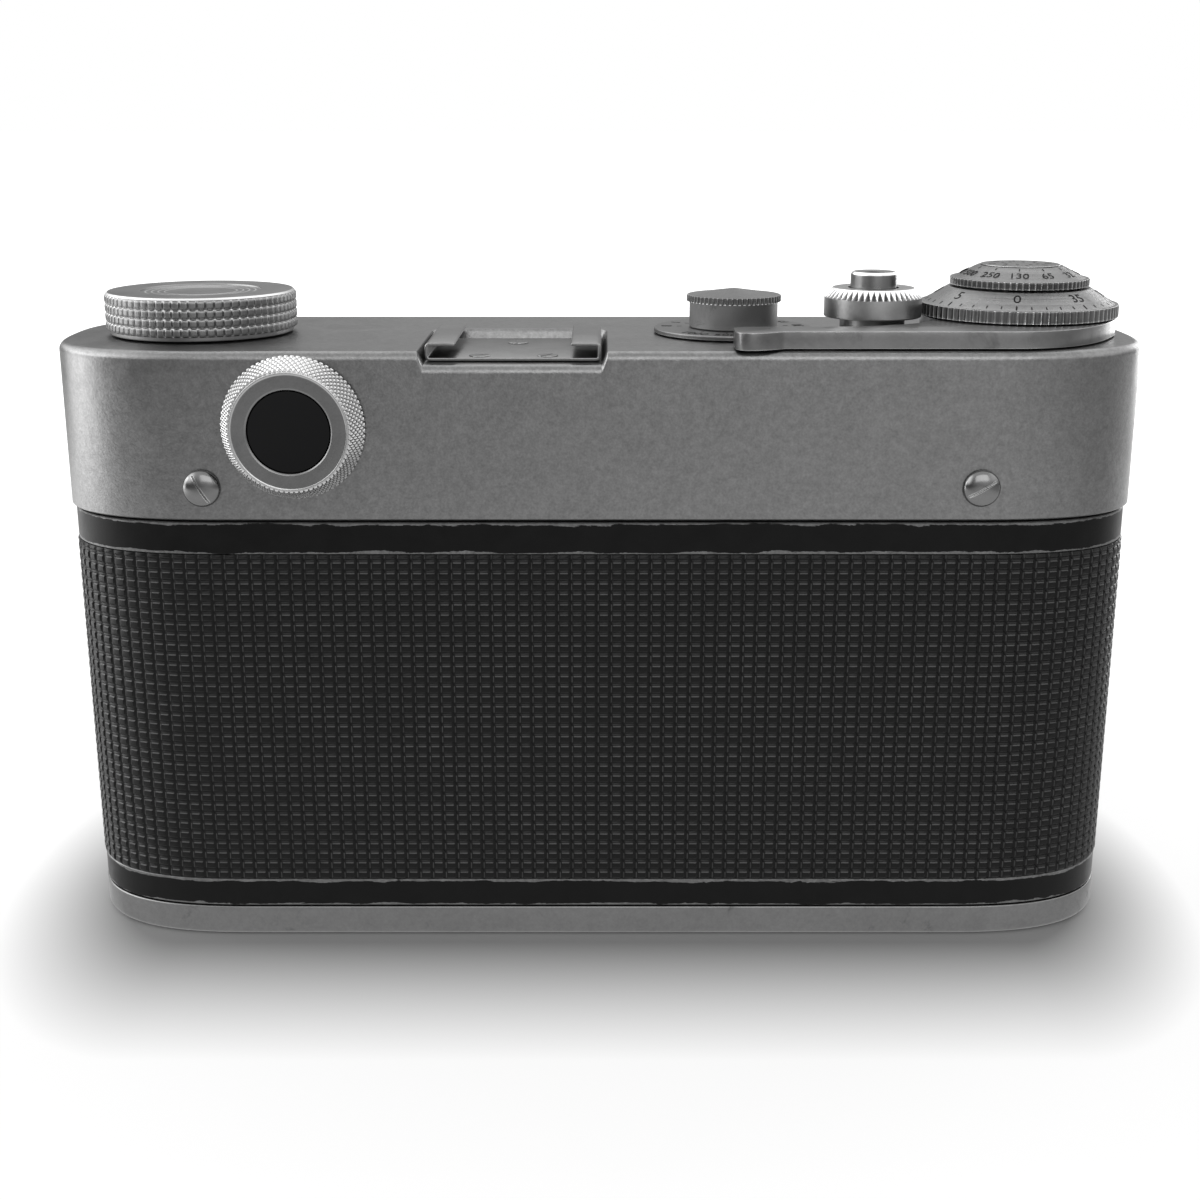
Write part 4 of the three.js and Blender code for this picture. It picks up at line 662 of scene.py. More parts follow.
def glassMaterial(name, **changes):
    # dark coated glass: nearly black body, a tinted coat and faint smears in the roughness
    look = {**glassLook, **changes}
    material, tree, shader, place = newMaterial(name)
    grain = grainNode(tree, place, look["speckleScale"], look["mottleScale"])
    smeared = tuple(look["smearLift"] * c for c in look["colour"])
    feed(tree, shader, {
        "Base Color": blend(tree, grain["Marks"], look["colour"], smeared),
        "Roughness": calc(tree, "MULTIPLY_ADD", grain["Marks"], look["smearRough"], look["roughness"]),
        "Specular IOR Level": look["specular"], "Coat Weight": look["coat"],
        "Coat Roughness": look["coatRoughness"], "Coat Tint": (*look["tint"], 1),
        "Normal": bumpNode(tree, look["bump"], look["bumpDepth"], grain["Mottle"])})
    return material


clothLook = {
    "waveScale": 900.0, "distortion": 0.6, "speckleScale": 3000.0, "mottleScale": 200.0, "weft": 0.006,
    "warp": 0.016, "faded": 0.024, "fadedShare": 0.3, "roughness": 0.75, "mottleRough": 0.15, "bump": 0.3,
    "bumpDepth": 0.00005,
}


def clothMaterial(name):
    # rubberised cloth: two crossed waves as warp and weft under a matt skin
    k = clothLook
    material, tree, shader, place = newMaterial(name)
    inputs = {"Vector": place, "Scale": k["waveScale"], "Distortion": k["distortion"]}
    warp, weft = (
        node(tree, "ShaderNodeTexWave", inputs, bands_direction=axis).outputs["Fac"] for axis in ("X", "Z"))
    weave = calc(tree, "MAXIMUM", warp, weft)
    grain = grainNode(tree, place, k["speckleScale"], k["mottleScale"])
    base = blend(tree, weave, k["weft"], k["warp"])
    faded = calc(tree, "MULTIPLY", grain["Mottle"], k["fadedShare"])
    feed(tree, shader, {
        "Base Color": blend(tree, faded, base, k["faded"]),
        "Roughness": calc(tree, "MULTIPLY_ADD", grain["Mottle"], k["mottleRough"], k["roughness"]),
        "Normal": bumpNode(tree, k["bump"], k["bumpDepth"], weave)})
    return material


def finishPiece(obj, material, body, replaces=()):
    # the piece gets its material and the body it rides on; the solids it stands for are hidden
    obj.data.materials.clear()
    obj.data.materials.append(material)
    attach(obj, body)
    if replaces:
        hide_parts(*replaces)
    return obj


def roundPiece(name, profile, count, place, material, body, replaces=(), relief=None, cutters=(),
               sharpAngle=usualSharpAngle):
    # a profile turned, stood in its place, carved by its cutters and finished
    obj = meshObject(name, *stand(turned(profile, count, relief), *place), sharpAngle=sharpAngle)
    if cutters:
        carve(obj, cutters, sharpAngle=sharpAngle)
    return finishPiece(obj, material, body, replaces)


coverChrome = metalMaterial(
    "coverChrome", roughness=0.33, speckle=0.4, mottle=0.03, marks=0.05, bump=0.3, grime=0.03, edgeGain=0.0)
baseChrome = metalMaterial("baseChrome", colour=0.172, grime=0.35, edgeGain=2.5, edgeRadius=0.00012)
print("materials ready")

# Axes taken from the solids

rewindX = cadMiddle("rewind_knob")[0]
eyeX, _, eyeZ = cadMiddle("eyepiece_lens")
speedX = cadMiddle("speed_disc")[0]
releaseX, releaseY, _ = cadMiddle("rewind_collar")
windX = cadMiddle("take_up_spool")[0]
finderX = cadMiddle("rangefinder_window")[0]
lensX, _, lensZ = cadMiddle("lens_cell")
timerX = cadMiddle("self_timer_lever")[0]
lowerZ, topZ = coverLow[2], coverHigh[2]

# Top cover

topCover = {
    "wall": 0.9, "top": 1.0, "rounding": 1.1, "rimChamfer": 0.15, "columnSpacing": 2.4,
    "recessHalf": 11.15, "recessFront": 3.4, "recessDepth": 1.6, "lip": 0.85, "corner": 1.6,
    "screwLeft": -48.77, "screwRight": 46.72, "screwZ": 60.5, "knobHole": 3.9, "shaftHole": 2.8,
    "releaseHole": 1.5, "eyeHole": 6.15, "finderHole": 3.2, "windowHalf": (6.5, 4.5), "screwHole": 1.0,
}
shoeX = cadMiddle("accessory_shoe")[0]


def coverDip(x, y, half, front):
    # depth times a smooth step, a lip wide, of the distance to a rectangle with rounded front corners, open to
    # the rear
    lip, corner = topCover["lip"], topCover["corner"]
    dx, dy = np.abs(x - shoeX) - (half - corner), y - (front - corner)
    away = np.hypot(np.maximum(dx, 0), np.maximum(dy, 0)) + np.minimum(np.maximum(dx, dy), 0) - corner
    return topCover["recessDepth"] * smooth((lip / 2 - away) / lip)


def coverGrid():
    # rows run from the inner middle line down the inside, round the rim, up the outside and over the top to the
    # middle line
    wall, top, rounding, chamfer = (topCover[k] for k in ("wall", "top", "rounding", "rimChamfer"))
    half, front, lip = (topCover[k] for k in ("recessHalf", "recessFront", "lip"))
    edges = [shoeX + side * half for side in (-1, 1)]
    fine = np.concatenate([e + np.linspace(-lip / 2 - 0.05, lip / 2 + 0.05, 17) for e in edges])
    turn = np.linspace(0.3, topCover["corner"] - 0.2, 4)
    fine = np.concatenate([fine, edges[0] + lip / 2 + turn, edges[1] - lip / 2 - turn])
    wider = np.concatenate([shoeX + side * (half + 1) + np.linspace(-lip / 2, lip / 2, 5) for side in (-1, 1)])
    distance = planColumns(topCover["columnSpacing"], np.concatenate([fine, wider]))
    frontSteps = np.concatenate([-lip / 2 - turn, np.linspace(-lip / 2 - 0.05, lip / 2 + 0.05, 13)])
    frontRows = halfDepth - (front + frontSteps)
    insideRows = halfDepth - (front + 1 + np.linspace(-lip / 2, lip / 2, 6))
    inner = np.unique(np.concatenate([np.linspace(wall, halfDepth, 9), insideRows]))[::-1]
    outer = np.unique(np.concatenate([np.linspace(rounding, halfDepth, 16), frontRows, [rounding + 0.3]]))
    arc = np.linspace(0, np.pi / 2, 13)
    inset = np.concatenate([inner, [wall, wall, chamfer, 0, 0, 0, 0], rounding * (1 - np.cos(arc)), outer[1:]])
    insideTop, shoulder = topZ - top, topZ - rounding
    height = np.concatenate([
        np.full(len(inner), insideTop), [(insideTop + lowerZ) / 2, lowerZ, lowerZ, lowerZ + chamfer],
        np.linspace(lowerZ + chamfer, shoulder, 5)[1:-1], shoulder + rounding * np.sin(arc),
        np.full(len(outer) - 1, topZ)])
    inside = np.arange(len(inset)) < len(inner) + 2
    x, y = planXY(distance[None], inset[:, None])
    dip = np.where(inside[:, None], coverDip(x, y, half + 1, front + 1), coverDip(x, y, half, front))
    share = np.clip((height - lowerZ) / (np.where(inside, insideTop, shoulder) - lowerZ), 0, 1)
    z = height[:, None] - share[:, None] * dip
    return np.stack([x, y, z], -1).reshape(-1, 3), [gridFaces(len(inset), len(distance), False, True)]


def makeTopCover():
    # holes through the top for the shafts, and through the walls for the eyepiece, windows and screws
    k = topCover
    obj = meshObject("top_cover_skin", *coverGrid(), merge=True)
    top, wall = (topZ - 4, topZ + 1, "up"), (16, 20)
    wide, tall = k["windowHalf"]
    tools = [
        rod(k["knobHole"], *top, rewindX, 0, 0),
        rod(k["shaftHole"], *top, speedX, 0, 0),
        rod(k["releaseHole"], *top, releaseX, releaseY, 0, 24),
        rod(k["shaftHole"], *top, windX, 0, 0),
        rod(k["eyeHole"], *wall, "back", eyeX, 0, eyeZ, 64),
        rod(k["finderHole"], *wall, "front", finderX, 0, eyeZ, 48),
        block(eyeX - wide, eyeX + wide, *wall, eyeZ - tall, eyeZ + tall),
        rod(k["screwHole"], *wall, "back", k["screwLeft"], 0, k["screwZ"], 24),
        rod(k["screwHole"], *wall, "back", k["screwRight"], 0, k["screwZ"], 24),
    ]
    carve(obj, tools, sharpAngle=cutSharpAngle)
    return finishPiece(obj, coverChrome, "camera_body", ["top_cover"])


makeTopCover()
print("top cover made")

# Base plate

basePlate = {
    "inset": 0.35, "rounding": 1.0, "topChamfer": 0.2, "wall": 1.3, "floor": 2.6, "columnSpacing": 4.0,
    "bushHole": 6.1, "keyRecess": 1.6, "keyRadius": 8.4, "keyShaft": 2.5,
}
keyX = [cadMiddle("lock_key_left")[0], cadMiddle("lock_key_right")[0]]
baseTop = alongZ("base_plate")[1]


def makeBasePlate():
    # rows run from the lower middle line out, round the lower edge, up the rim and back in over the tray's
    # floor
    inset, rounding, chamfer, wall = (basePlate[k] for k in ("inset", "rounding", "topChamfer", "wall"))
    arc = np.linspace(0, np.pi / 2, 7)
    across = np.concatenate([
        np.linspace(halfDepth, inset + rounding, 9), inset + rounding * (1 - np.sin(arc[1:])), [inset],
        inset + chamfer * (1 - np.cos(arc[::2])), [inset + wall, inset + wall],
        np.linspace(inset + wall, halfDepth, 8)[1:]])
    height = np.concatenate([
        np.zeros(9), rounding * (1 - np.cos(arc[1:])), [baseTop / 2],
        baseTop - chamfer + chamfer * np.sin(arc[::2]), [baseTop, basePlate["floor"]],
        np.full(7, basePlate["floor"])])
    distance = planColumns(basePlate["columnSpacing"])
    x, y = planXY(distance[None], across[:, None])
    points = np.stack([x, y, np.repeat(height[:, None], len(distance), 1)], -1).reshape(-1, 3)
    obj = meshObject("base_plate_skin", points, [gridFaces(len(across), len(distance), False, True)],
                     merge=True)
    tools = [rod(basePlate["bushHole"], -1, 5, "up", lensX, 0, 0, 64)]
    for x in keyX:
        tools.append(rod(basePlate["keyRadius"], -1, basePlate["keyRecess"], "up", x, 0, 0, 96))
        tools.append(rod(basePlate["keyShaft"], -1, 5, "up", x, 0, 0, 32))
    carve(obj, tools, sharpAngle=cutSharpAngle)
    return finishPiece(obj, baseChrome, "back", ["base_plate"])


makeBasePlate()
print("base plate made")

# Painted shells, seen as the bands above and below the covering

shells = {
    "inset": 0.45, "wall": 1.2, "groove": 0.8, "chamfer": 0.12, "columns": 220, "lensHole": 21.1,
    "timerHole": 1.3, "socketHole": 2.5,
}
shellLow, shellHigh = alongZ("back_shell")
skinLow, skinHigh = alongZ("back_covering")
bandPaint = paintMaterial(
    "bandPaint", roughness=0.36, edgeGain=3.0,
    levels=((shellHigh, 0.8), (skinHigh + 0.1, 0.7), (skinLow - 0.1, 0.7), (shellLow, 0.7)))


def sweepWall(name, distance, inset, height):
    # a closed profile of inset and height carried along the plan, with a face over each end
    x, y = planXY(distance[None], inset)
    z = np.broadcast_to(height, x.shape)
    rows, columns = x.shape
    caps = np.arange(rows) * columns
    faces = [gridFaces(rows, columns, True, False), caps[None], (caps + columns - 1)[None, ::-1]]
    return meshObject(name, np.stack([x, y, z], -1).reshape(-1, 3), faces)


def makeShell(name, start, end, body, node_, cutters=()):
    # the profile runs from the inner foot out and up, in behind the covering, and back to the inner top
    inset, inner = shells["inset"], shells["inset"] + shells["wall"]
    c, groove = shells["chamfer"], shells["groove"]
    profile = np.array([
        (inner, shellLow), (inset + c, shellLow), (inset, shellLow + c), (inset, (shellLow + skinLow) / 2),
        (inset, skinLow - c), (inset + c, skinLow), (groove, skinLow), (groove, skinHigh),
        (inset + c, skinHigh), (inset, skinHigh + c), (inset, (shellHigh + skinHigh) / 2),
        (inset, shellHigh - c), (inset + c, shellHigh), (inner, shellHigh)])
    distance = np.linspace(start, end, shells["columns"])
    obj = sweepWall(name, distance, profile[:, :1], profile[:, 1:])
    if cutters:
        carve(obj, cutters, sharpAngle=cutSharpAngle)
    return finishPiece(obj, bandPaint, body, [node_])


socketX, _, socketZ = cadMiddle("sync_socket")
timerZ = alongZ("self_timer_lever")[1] - 5
frontTools = [
    rod(shells["lensHole"], 15, 20, "front", lensX, 0, lensZ, 128),
    rod(shells["timerHole"], 15, 20, "front", timerX, 0, timerZ, 24),
    rod(shells["socketHole"], 15, 20, "front", socketX, 0, socketZ, 32),
]
makeShell("back_shell_skin", -seamRear, seamRear, "back", "back_shell")
makeShell("front_shell_skin", seamFront, perimeter - seamFront, "camera_body", "front_shell", frontTools)
print("shells made")

# Embossed covering

embossing = {
    "inset": 0.3, "inner": 0.75, "cellWide": 1.66, "cellHigh": 1.351, "groove": 0.18, "edgeGap": 0.05,
    "across": (0.0, 0.56, 0.67, 0.77, 0.87), "acrossDepth": (0.0, 0.0, 0.18, 0.18, 0.07),
    "up": (0.0, 0.45, 0.57, 0.67, 0.80), "upDepth": (0.0, 0.0, 0.12, 0.06, 0.18),
}
coveringSkin = coveringMaterial("coveringSkin")


def cellSteps(low, high, pitch, places, depths):
    # a cell's places repeated at the pitch from the middle outwards, with their depths and their count of cells
    count = int(math.ceil((high - low) / pitch)) + 1
    start = (low + high) / 2 - count * pitch / 2
    place = (start + pitch * (np.arange(count)[:, None] + np.array(places))).ravel()
    keep = (place > low + 0.02) & (place < high - 0.02)
    place, depth = place[keep], np.tile(depths, count)[keep]
    place = np.concatenate([[low], place, [high]])
    depth = np.concatenate([[embossing["groove"]], depth, [embossing["groove"]]])
    return place, depth, (place - start) / pitch


def makeCovering(name, start, end, body, node_, cutters=()):
    # depth = the deeper of what the place across and the place up ask for: flat studs, a thin ridge and a
    # groove between. The cells map counts cells along and up
    k, gap = embossing, embossing["edgeGap"]
    u, depthU, cellU = cellSteps(start + gap, end - gap, k["cellWide"], k["across"], k["acrossDepth"])
    v, depthV, cellV = cellSteps(skinLow + gap, skinHigh - gap, k["cellHigh"], k["up"], k["upDepth"])
    v, cellV = (np.concatenate([row[:1], row, row[-1:]]) for row in (v, cellV))
    inset = k["inset"] + np.maximum(depthU[None], depthV[:, None])
    inner = np.full((1, len(u)), k["inner"])
    obj = sweepWall(name, u, np.vstack([inner, inset, inner]), v[:, None])
    cell = np.stack(np.meshgrid(cellU, cellV), -1).reshape(-1, 2)
    corner = np.zeros(len(obj.data.loops), np.int32)
    obj.data.loops.foreach_get("vertex_index", corner)
    layer = obj.data.uv_layers.new(name="cells")
    layer.data.foreach_set("uv", cell[corner].astype(np.float32).ravel())
    if cutters:
        carve(obj, cutters)
    return finishPiece(obj, coveringSkin, body, [node_])


makeCovering("back_covering_skin", -seamRear, seamRear, "back", "back_covering")
makeCovering("front_covering_skin", seamFront, perimeter - seamFront, "camera_body", "front_covering",
             frontTools)
print("covering made")

# Rewind knob

rewindKnob = {
    "radius": 12.15, "studsAround": 72, "studRows": 4, "studDepth": 0.22, "studLow": 77.95, "studHigh": 82.45,
    "ridges": 4, "ridgeOuter": 7.4, "ridgeInner": 4.2, "ridgeHeight": 0.04, "ridgeFall": 0.06,
}
knobLow, knobHigh = alongZ("rewind_knob")
knobChrome = metalMaterial(
    "knobChrome", colour=0.23, roughness=0.34, speckle=0.12, edgeGain=0.0, grime=0.2,
    crest=0.66, pit=0.5, rings=0.1, axis=(rewindX, 0, 0))


def studRelief(r, z, a):
    # radius less stud depth times one minus h, the lowest of a triangle wave round the rim, one up it and their
    # sum, cut off flat: studs with bevelled corners. The flats get painted shade, and the slopes, the recess's
    # ring crests and the top rim a painted highlight
    k = rewindKnob
    inZone = (r > k["radius"] - 0.01) & (z >= k["studLow"] - 0.001) & (z <= k["studHigh"] + 0.001)
    up = (z - k["studLow"]) / (k["studHigh"] - k["studLow"]) * k["studRows"]
    round_, high = triangle(stepsRound(a, k["studsAround"])), triangle(up)
    h = np.minimum(np.minimum(3.4 * round_, 3.0 * high), 1.35 * (round_ + high) - 0.25)
    dip = 1 - np.clip(h, 0, 1)
    inRecess = (r < k["ridgeOuter"] + 0.01) & (r > k["ridgeInner"] - 0.01) & (z > knobHigh - 0.7)
    crest = triangle((k["ridgeOuter"] - r) / (k["ridgeOuter"] - k["ridgeInner"]) * k["ridges"]) ** 3
    onRim = (z > k["studHigh"] + 0.01) & (r > 11.7)
    shades = [np.clip(0.6 - 2.2 * dip, -0.3, 1), 0.2 - 1.2 * crest, -1.0]
    pit = np.select([inZone, inRecess, onRim], shades, 0.0)
    return np.where(inZone, r - k["studDepth"] * dip, r), z, pit


def makeRewindKnob():
    # from the socket's roof down inside, up the studded rim, over the top and in across the recess's rings
    k = rewindKnob
    t = np.linspace(0, 1, 8 * k["ridges"] + 1)
    wave = np.column_stack([
        k["ridgeOuter"] + (k["ridgeInner"] - k["ridgeOuter"]) * t,
        knobHigh - 0.2 - k["ridgeFall"] * t + k["ridgeHeight"] * triangle(k["ridges"] * t) ** 3])
    profile = np.vstack([
        [(0, knobHigh - 1.8), (2.1, knobHigh - 1.8), (2.1, 78.25), (9.1, 78.25), (9.1, knobLow),
         (11.3, knobLow)],
        soften([(11.4, knobLow), (11.62, knobLow + 0.08), (11.63, k["studLow"] - 0.05)], 0.15),
        np.linspace((k["radius"], k["studLow"]), (k["radius"], k["studHigh"]), 8 * k["studRows"] + 1),
        soften([(11.98, k["studHigh"] + 0.06), (11.72, knobHigh), (7.75, knobHigh), (7.62, knobHigh - 0.05),
                (7.56, knobHigh - 0.19)], 0.1),
        wave, soften([(4.1, knobHigh - 0.27), (3.9, knobHigh - 0.3), (0, knobHigh - 0.3)], 0.1)])
    roundPiece("rewind_knob_studded", profile, 8 * k["studsAround"], ("up", rewindX, 0, 0), knobChrome,
               "rewind_knob", ["rewind_knob"], studRelief, sharpAngle=22)


makeRewindKnob()
print("rewind knob made")

# Dioptre ring and eyepiece

dioptreRing = {
    "baseRadius": 8.78, "coneTop": 7.42, "faceRadius": 6.95, "knurlsAround": 76, "knurlRows": 7,
    "knurlDepth": 0.24, "coneFoot": 0.21, "coneEnd": 0.3,
}
dioptreRear, dioptreFront = (-y for y in alongY("dioptre_ring"))
dioptreChrome = metalMaterial(
    "dioptreChrome", colour=0.185, roughness=0.3, speckle=0.14, edgeGain=2.0, grime=0.2, crest=0.7, pit=0.9)


def knurlRelief(r, z, a):
    # two crossed sets of slanting grooves: depth times one minus the lower of the two triangle waves
    k = dioptreRing
    low, high = dioptreFront + k["coneFoot"], dioptreRear - k["coneEnd"]
    zone = (r > k["coneTop"] - 0.15) & (z > low - 0.001) & (z < high + 0.001)
    up = (z - low) / (high - low) * k["knurlRows"] / 2
    passed = stepsRound(a, k["knurlsAround"])
    dip = 1 - np.minimum(1.9 * np.minimum(triangle(passed + up), triangle(passed - up)), 1)
    bead = (r > k["faceRadius"] - 0.06) & (r < k["coneTop"] - 0.02) & (z > high)
    # painted highlight on the knurl's crests and the bead, painted shade in its grooves
    pit = np.select([zone, bead], [1.4 * dip - 0.95, -0.45], 0.0)
    return np.where(zone, r - k["knurlDepth"] * dip, r), z, pit


def makeDioptreRing():
    # from the bore forward and out to the cone's foot, up the cone, and over a bead to the face and the bore
    k = dioptreRing
    rear, front, face = dioptreRear, dioptreFront, k["faceRadius"]
    coneFoot, coneEnd = (k["baseRadius"], front + k["coneFoot"]), (k["coneTop"], rear - k["coneEnd"])
    profile = np.vstack([
        soften([(6.35, rear - 1.1), (6.35, front), (8.4, front), (8.5, front + 0.12)], 0.05),
        np.linspace(coneFoot, coneEnd, 6 * k["knurlRows"] + 1),
        soften([(7.2, rear - 0.26), (7.22, rear - 0.04), (7.1, rear), (face, rear - 0.03),
                (face - 0.1, rear - 0.08), (5.25, rear - 0.08), (5.05, rear - 0.22), (5.05, rear - 1.1)], 0.08)])
    roundPiece("dioptre_ring_knurled", profile, 8 * k["knurlsAround"], ("back", eyeX, 0, eyeZ), dioptreChrome,
               "dioptre_ring", ["dioptre_ring"], knurlRelief, sharpAngle=30)


eyepieceGlass = {"radius": 4.95, "thickness": 0.7, "hollow": 0.12, "rim": 0.05}
eyepieceBlack = glassMaterial(
    "eyepieceBlack", colour=(0.004, 0.004, 0.0045), roughness=0.12, coat=0.0, specular=0.2)


def makeEyepiece():
    # the rear face sinks by the hollow times one less the square of the share of the radius
    k, rear = eyepieceGlass, -alongY("eyepiece_lens")[0]
    edge, back = k["radius"], rear - k["thickness"]
    t = np.linspace(1, 0, 12)
    profile = np.vstack([
        soften([(0, back), (edge, back), (edge, rear)], k["rim"])[:-1],
        np.column_stack([(edge - k["rim"]) * t, rear - k["hollow"] * (1 - t ** 2)])])
    roundPiece("eyepiece_glass", profile, 96, ("back", eyeX, 0, eyeZ), eyepieceBlack, "dioptre_ring",
               ["eyepiece_lens"])


makeDioptreRing()
makeEyepiece()
print("eyepiece made")

# Cover screws

coverScrews = {
    "radius": 2.3, "dome": 1.1, "slot": 0.24, "slotDepth": 0.45, "turn": {"left": 60, "right": -30},
    "x": {"left": topCover["screwLeft"], "right": topCover["screwRight"]},
}
polishedSteel = metalMaterial(
    "polishedSteel", colour=0.175, roughness=0.17, speckle=0.05, mottle=0.16, bump=0.03, grime=0.35,
    edgeGain=4.0)


def makeCoverScrew(side):
    # the dome's height is its rise times the sine of the angle whose cosine is the share of the radius
    k = coverScrews
    seat = halfDepth + 0.1
    arc = np.linspace(0, np.pi / 2, 16)[1:]
    dome = np.column_stack([k["radius"] * np.cos(arc), seat + 0.12 + (k["dome"] - 0.12) * np.sin(arc)])
    dome[-1, 0] = 0
    profile = np.vstack([
        [(0, seat - 4.2), (0.9, seat - 4.2), (0.9, seat), (2.2, seat), (k["radius"], seat + 0.1)], dome])
    points, faces = block(-3, 3, -k["slot"] / 2, k["slot"] / 2, seat + k["dome"] - k["slotDepth"], seat + 3)
    turn = math.radians(-k["turn"][side])
    cutter = stand((turnAbout(points, turn, 0, 0), faces), "back", k["x"][side], 0, topCover["screwZ"])
    roundPiece("cover_screw_head_" + side, profile, 72, ("back", k["x"][side], 0, topCover["screwZ"]),
               polishedSteel, "camera_body", ["cover_screw_" + side], cutters=[cutter])


makeCoverScrew("left")
makeCoverScrew("right")
print("screws made")

# Accessory shoe

accessoryShoe = {
    "sheet": 0.42, "lip": 3.7, "bend": 0.8, "wider": 0.25, "higher": 0.12, "longer": 0.25, "screwRadius": 1.3,
    "screwSlot": 0.28, "screwSlotDepth": 0.07, "screwHeight": 0.08, "screwFoot": 0.04, "screwTurn": 0.5,
}
shoeLow, shoeHigh = cadBox("accessory_shoe")
shoeChrome = metalMaterial("shoeChrome", colour=0.205, roughness=0.32, grime=0.25, edgeGain=5.0,
                           edgeRadius=0.00015)


def makeShoe():
    # the folded sheet's section with softened bends, carried from the rear end to the front end
    k = accessoryShoe
    x0, x1 = shoeLow[0] - k["wider"], shoeHigh[0] + k["wider"]
    z0, z1 = shoeLow[2], shoeHigh[2] + k["higher"]
    s, lip = k["sheet"], k["lip"]
    outer = soften([(x0 + lip, z1 - s), (x0 + lip, z1), (x0, z1), (x0, z0), (x1, z0), (x1, z1), (x1 - lip, z1),
                    (x1 - lip, z1 - s)], k["bend"], 5)
    inner = soften([(x1 - lip, z1 - s), (x1 - s, z1 - s), (x1 - s, z0 + s), (x0 + s, z0 + s), (x0 + s, z1 - s),
                    (x0 + lip, z1 - s)], 0.2, 3)
    outline = np.vstack([outer, inner[1:-1]])
    points, faces = slab(outline, 0, 1)
    y = np.where(points[:, 2] > 0.5, shoeHigh[1] + k["longer"], shoeLow[1])
    obj = meshObject("accessory_shoe_folded", np.column_stack([points[:, 0], y, points[:, 1]]), faces)
    easeEdges(obj, 0.11, 2, 60)
    return finishPiece(obj, shoeChrome, "camera_body", ["accessory_shoe"])


def makeShoeScrew(number):
    # a flat head with one cut across it, turned a step further from screw to screw
    k, solid = accessoryShoe, "shoe_screw_%d" % number
    low, high = cadBox(solid)
    x, y = (low + high)[:2] / 2
    foot, head = low[2] - k["screwFoot"], low[2] + k["screwHeight"]
    radius, slotHalf = k["screwRadius"], k["screwSlot"] / 2
    profile = soften([(0, foot), (radius, foot), (radius, head - 0.03), (radius - 0.1, head), (0, head)], 0.03)
    points, faces = block(x - 2, x + 2, y - slotHalf, y + slotHalf, head - k["screwSlotDepth"], head + 1)
    cutter = turnAbout(points, k["screwTurn"] * number, x, y), faces
    roundPiece("shoe_screw_head_%d" % number, profile, 40, ("up", x, y, 0), shoeChrome, "camera_body", [solid],
               cutters=[cutter])


makeShoe()
for number in (1, 2, 3):
    makeShoeScrew(number)
print("shoe made")

# Engraved numbers and ticks

engraving = {"depth": 0.012, "flatLift": 0.008, "coneLift": 0.012}
engravedBlack = paintMaterial("engravedBlack", colour=0.006, roughness=0.6, edgeGain=0.0)


def letterMesh(text, size):
    # the default face as a thin closed plate, centred, x to the right and y up, in millimetres
    curve = bpy.data.curves.new("letters", "FONT")
    curve.body, curve.size, curve.extrude = text, size * mm, engraving["depth"] * mm
    curve.align_x, curve.align_y, curve.resolution_u = "CENTER", "CENTER", 3
    holder = bpy.data.objects.new("letters", curve)
    scene.collection.objects.link(holder)
    graph = bpy.context.evaluated_depsgraph_get()
    data = bpy.data.meshes.new_from_object(holder.evaluated_get(graph))
    work = bmesh.new()
    work.from_mesh(data)
    bmesh.ops.remove_doubles(work, verts=work.verts, dist=1e-7)
    bmesh.ops.triangulate(work, faces=work.faces)
    points = np.array([v.co for v in work.verts], float).reshape(-1, 3) / mm
    faces = np.array([[v.index for v in f.verts] for f in work.faces], int).reshape(-1, 3)
    work.free()
    bpy.data.objects.remove(holder)
    bpy.data.curves.remove(curve)
    bpy.data.meshes.remove(data)
    return points, faces


def tickMesh(width, length):
    # a thin plate in triangles, as the letters are
    points, faces = block(-width / 2, width / 2, -length / 2, length / 2, -engraving["depth"],
                          engraving["depth"])
    quads = faces[0]
    return points, np.vstack([quads[:, [0, 1, 2]], quads[:, [0, 2, 3]]])


def marksPiece(name, marks, place, material, body):
    # a mark lies at radius r, height z and angle a; its up runs inward by the slope's cosine and upward by its
    # sine
    allPoints, allFaces, start = [], [], 0
    for shape, r, z, degrees, slope in marks:
        points, faces = shape
        a, s = math.radians(degrees), math.radians(slope)
        out, round_ = np.array([math.cos(a), math.sin(a), 0]), np.array([-math.sin(a), math.cos(a), 0])
        up = -out * math.cos(s) + np.array([0, 0, math.sin(s)])
        normal = out * math.sin(s) + np.array([0, 0, math.cos(s)])
        at = out * r + np.array([0, 0, z])
        allPoints.append(at + points[:, :1] * round_ + points[:, 1:2] * up + points[:, 2:] * normal)
        allFaces.append(faces + start)
        start += len(points)
    made = np.vstack(allPoints), [np.vstack(allFaces)]
    obj = meshObject(name, *stand(made, *place))
    return finishPiece(obj, material, body)


# Speed dial

speedDial = {
    "capRadius": 6.1, "flutes": 60, "fluteDepth": 0.2, "drumRadius": 5.7, "cone": 0.8,
    "numbers": ("1000", "500", "250", "125", "60", "30", "15", "8", "4", "2", "1", "B"), "numberSize": 2.0,
    "numberRadius": 8.75, "firstAngle": -128, "numberStep": 27.5, "tick": (0.16, 0.6), "tickRadius": 7.0,
}
speedLow, speedHigh = alongZ("speed_dial")
speedSteel = metalMaterial(
    "speedSteel", colour=0.16, roughness=0.42, speckle=0.2, crest=0.35, rings=0.4, axis=(speedX, 0, 0),
    grime=0.3, edgeGain=2.5, pit=0.8, turnedSheen=0.6)
discSteel = metalMaterial(
    "discSteel", colour=0.15, roughness=0.34, speckle=0.1, rings=0.25, axis=(speedX, 0, 0), grime=0.4)


def fluteRelief(radius, low, high, count, depth, dirtAndShade=0.5):
    # radius less the depth times a rounded wave: wide hollows, painted shade, between narrow lands, painted
    # highlight
    def relief(r, z, a):
        zone = (r > radius - 0.06) & (z > low - 0.001) & (z < high + 0.001)
        dip = np.abs(np.sin(a * count / 2)) ** 0.8
        return np.where(zone, r - depth * dip, r), z, np.where(zone, np.clip(3 * dip - 1, -0.6, dirtAndShade), 0)
    return relief


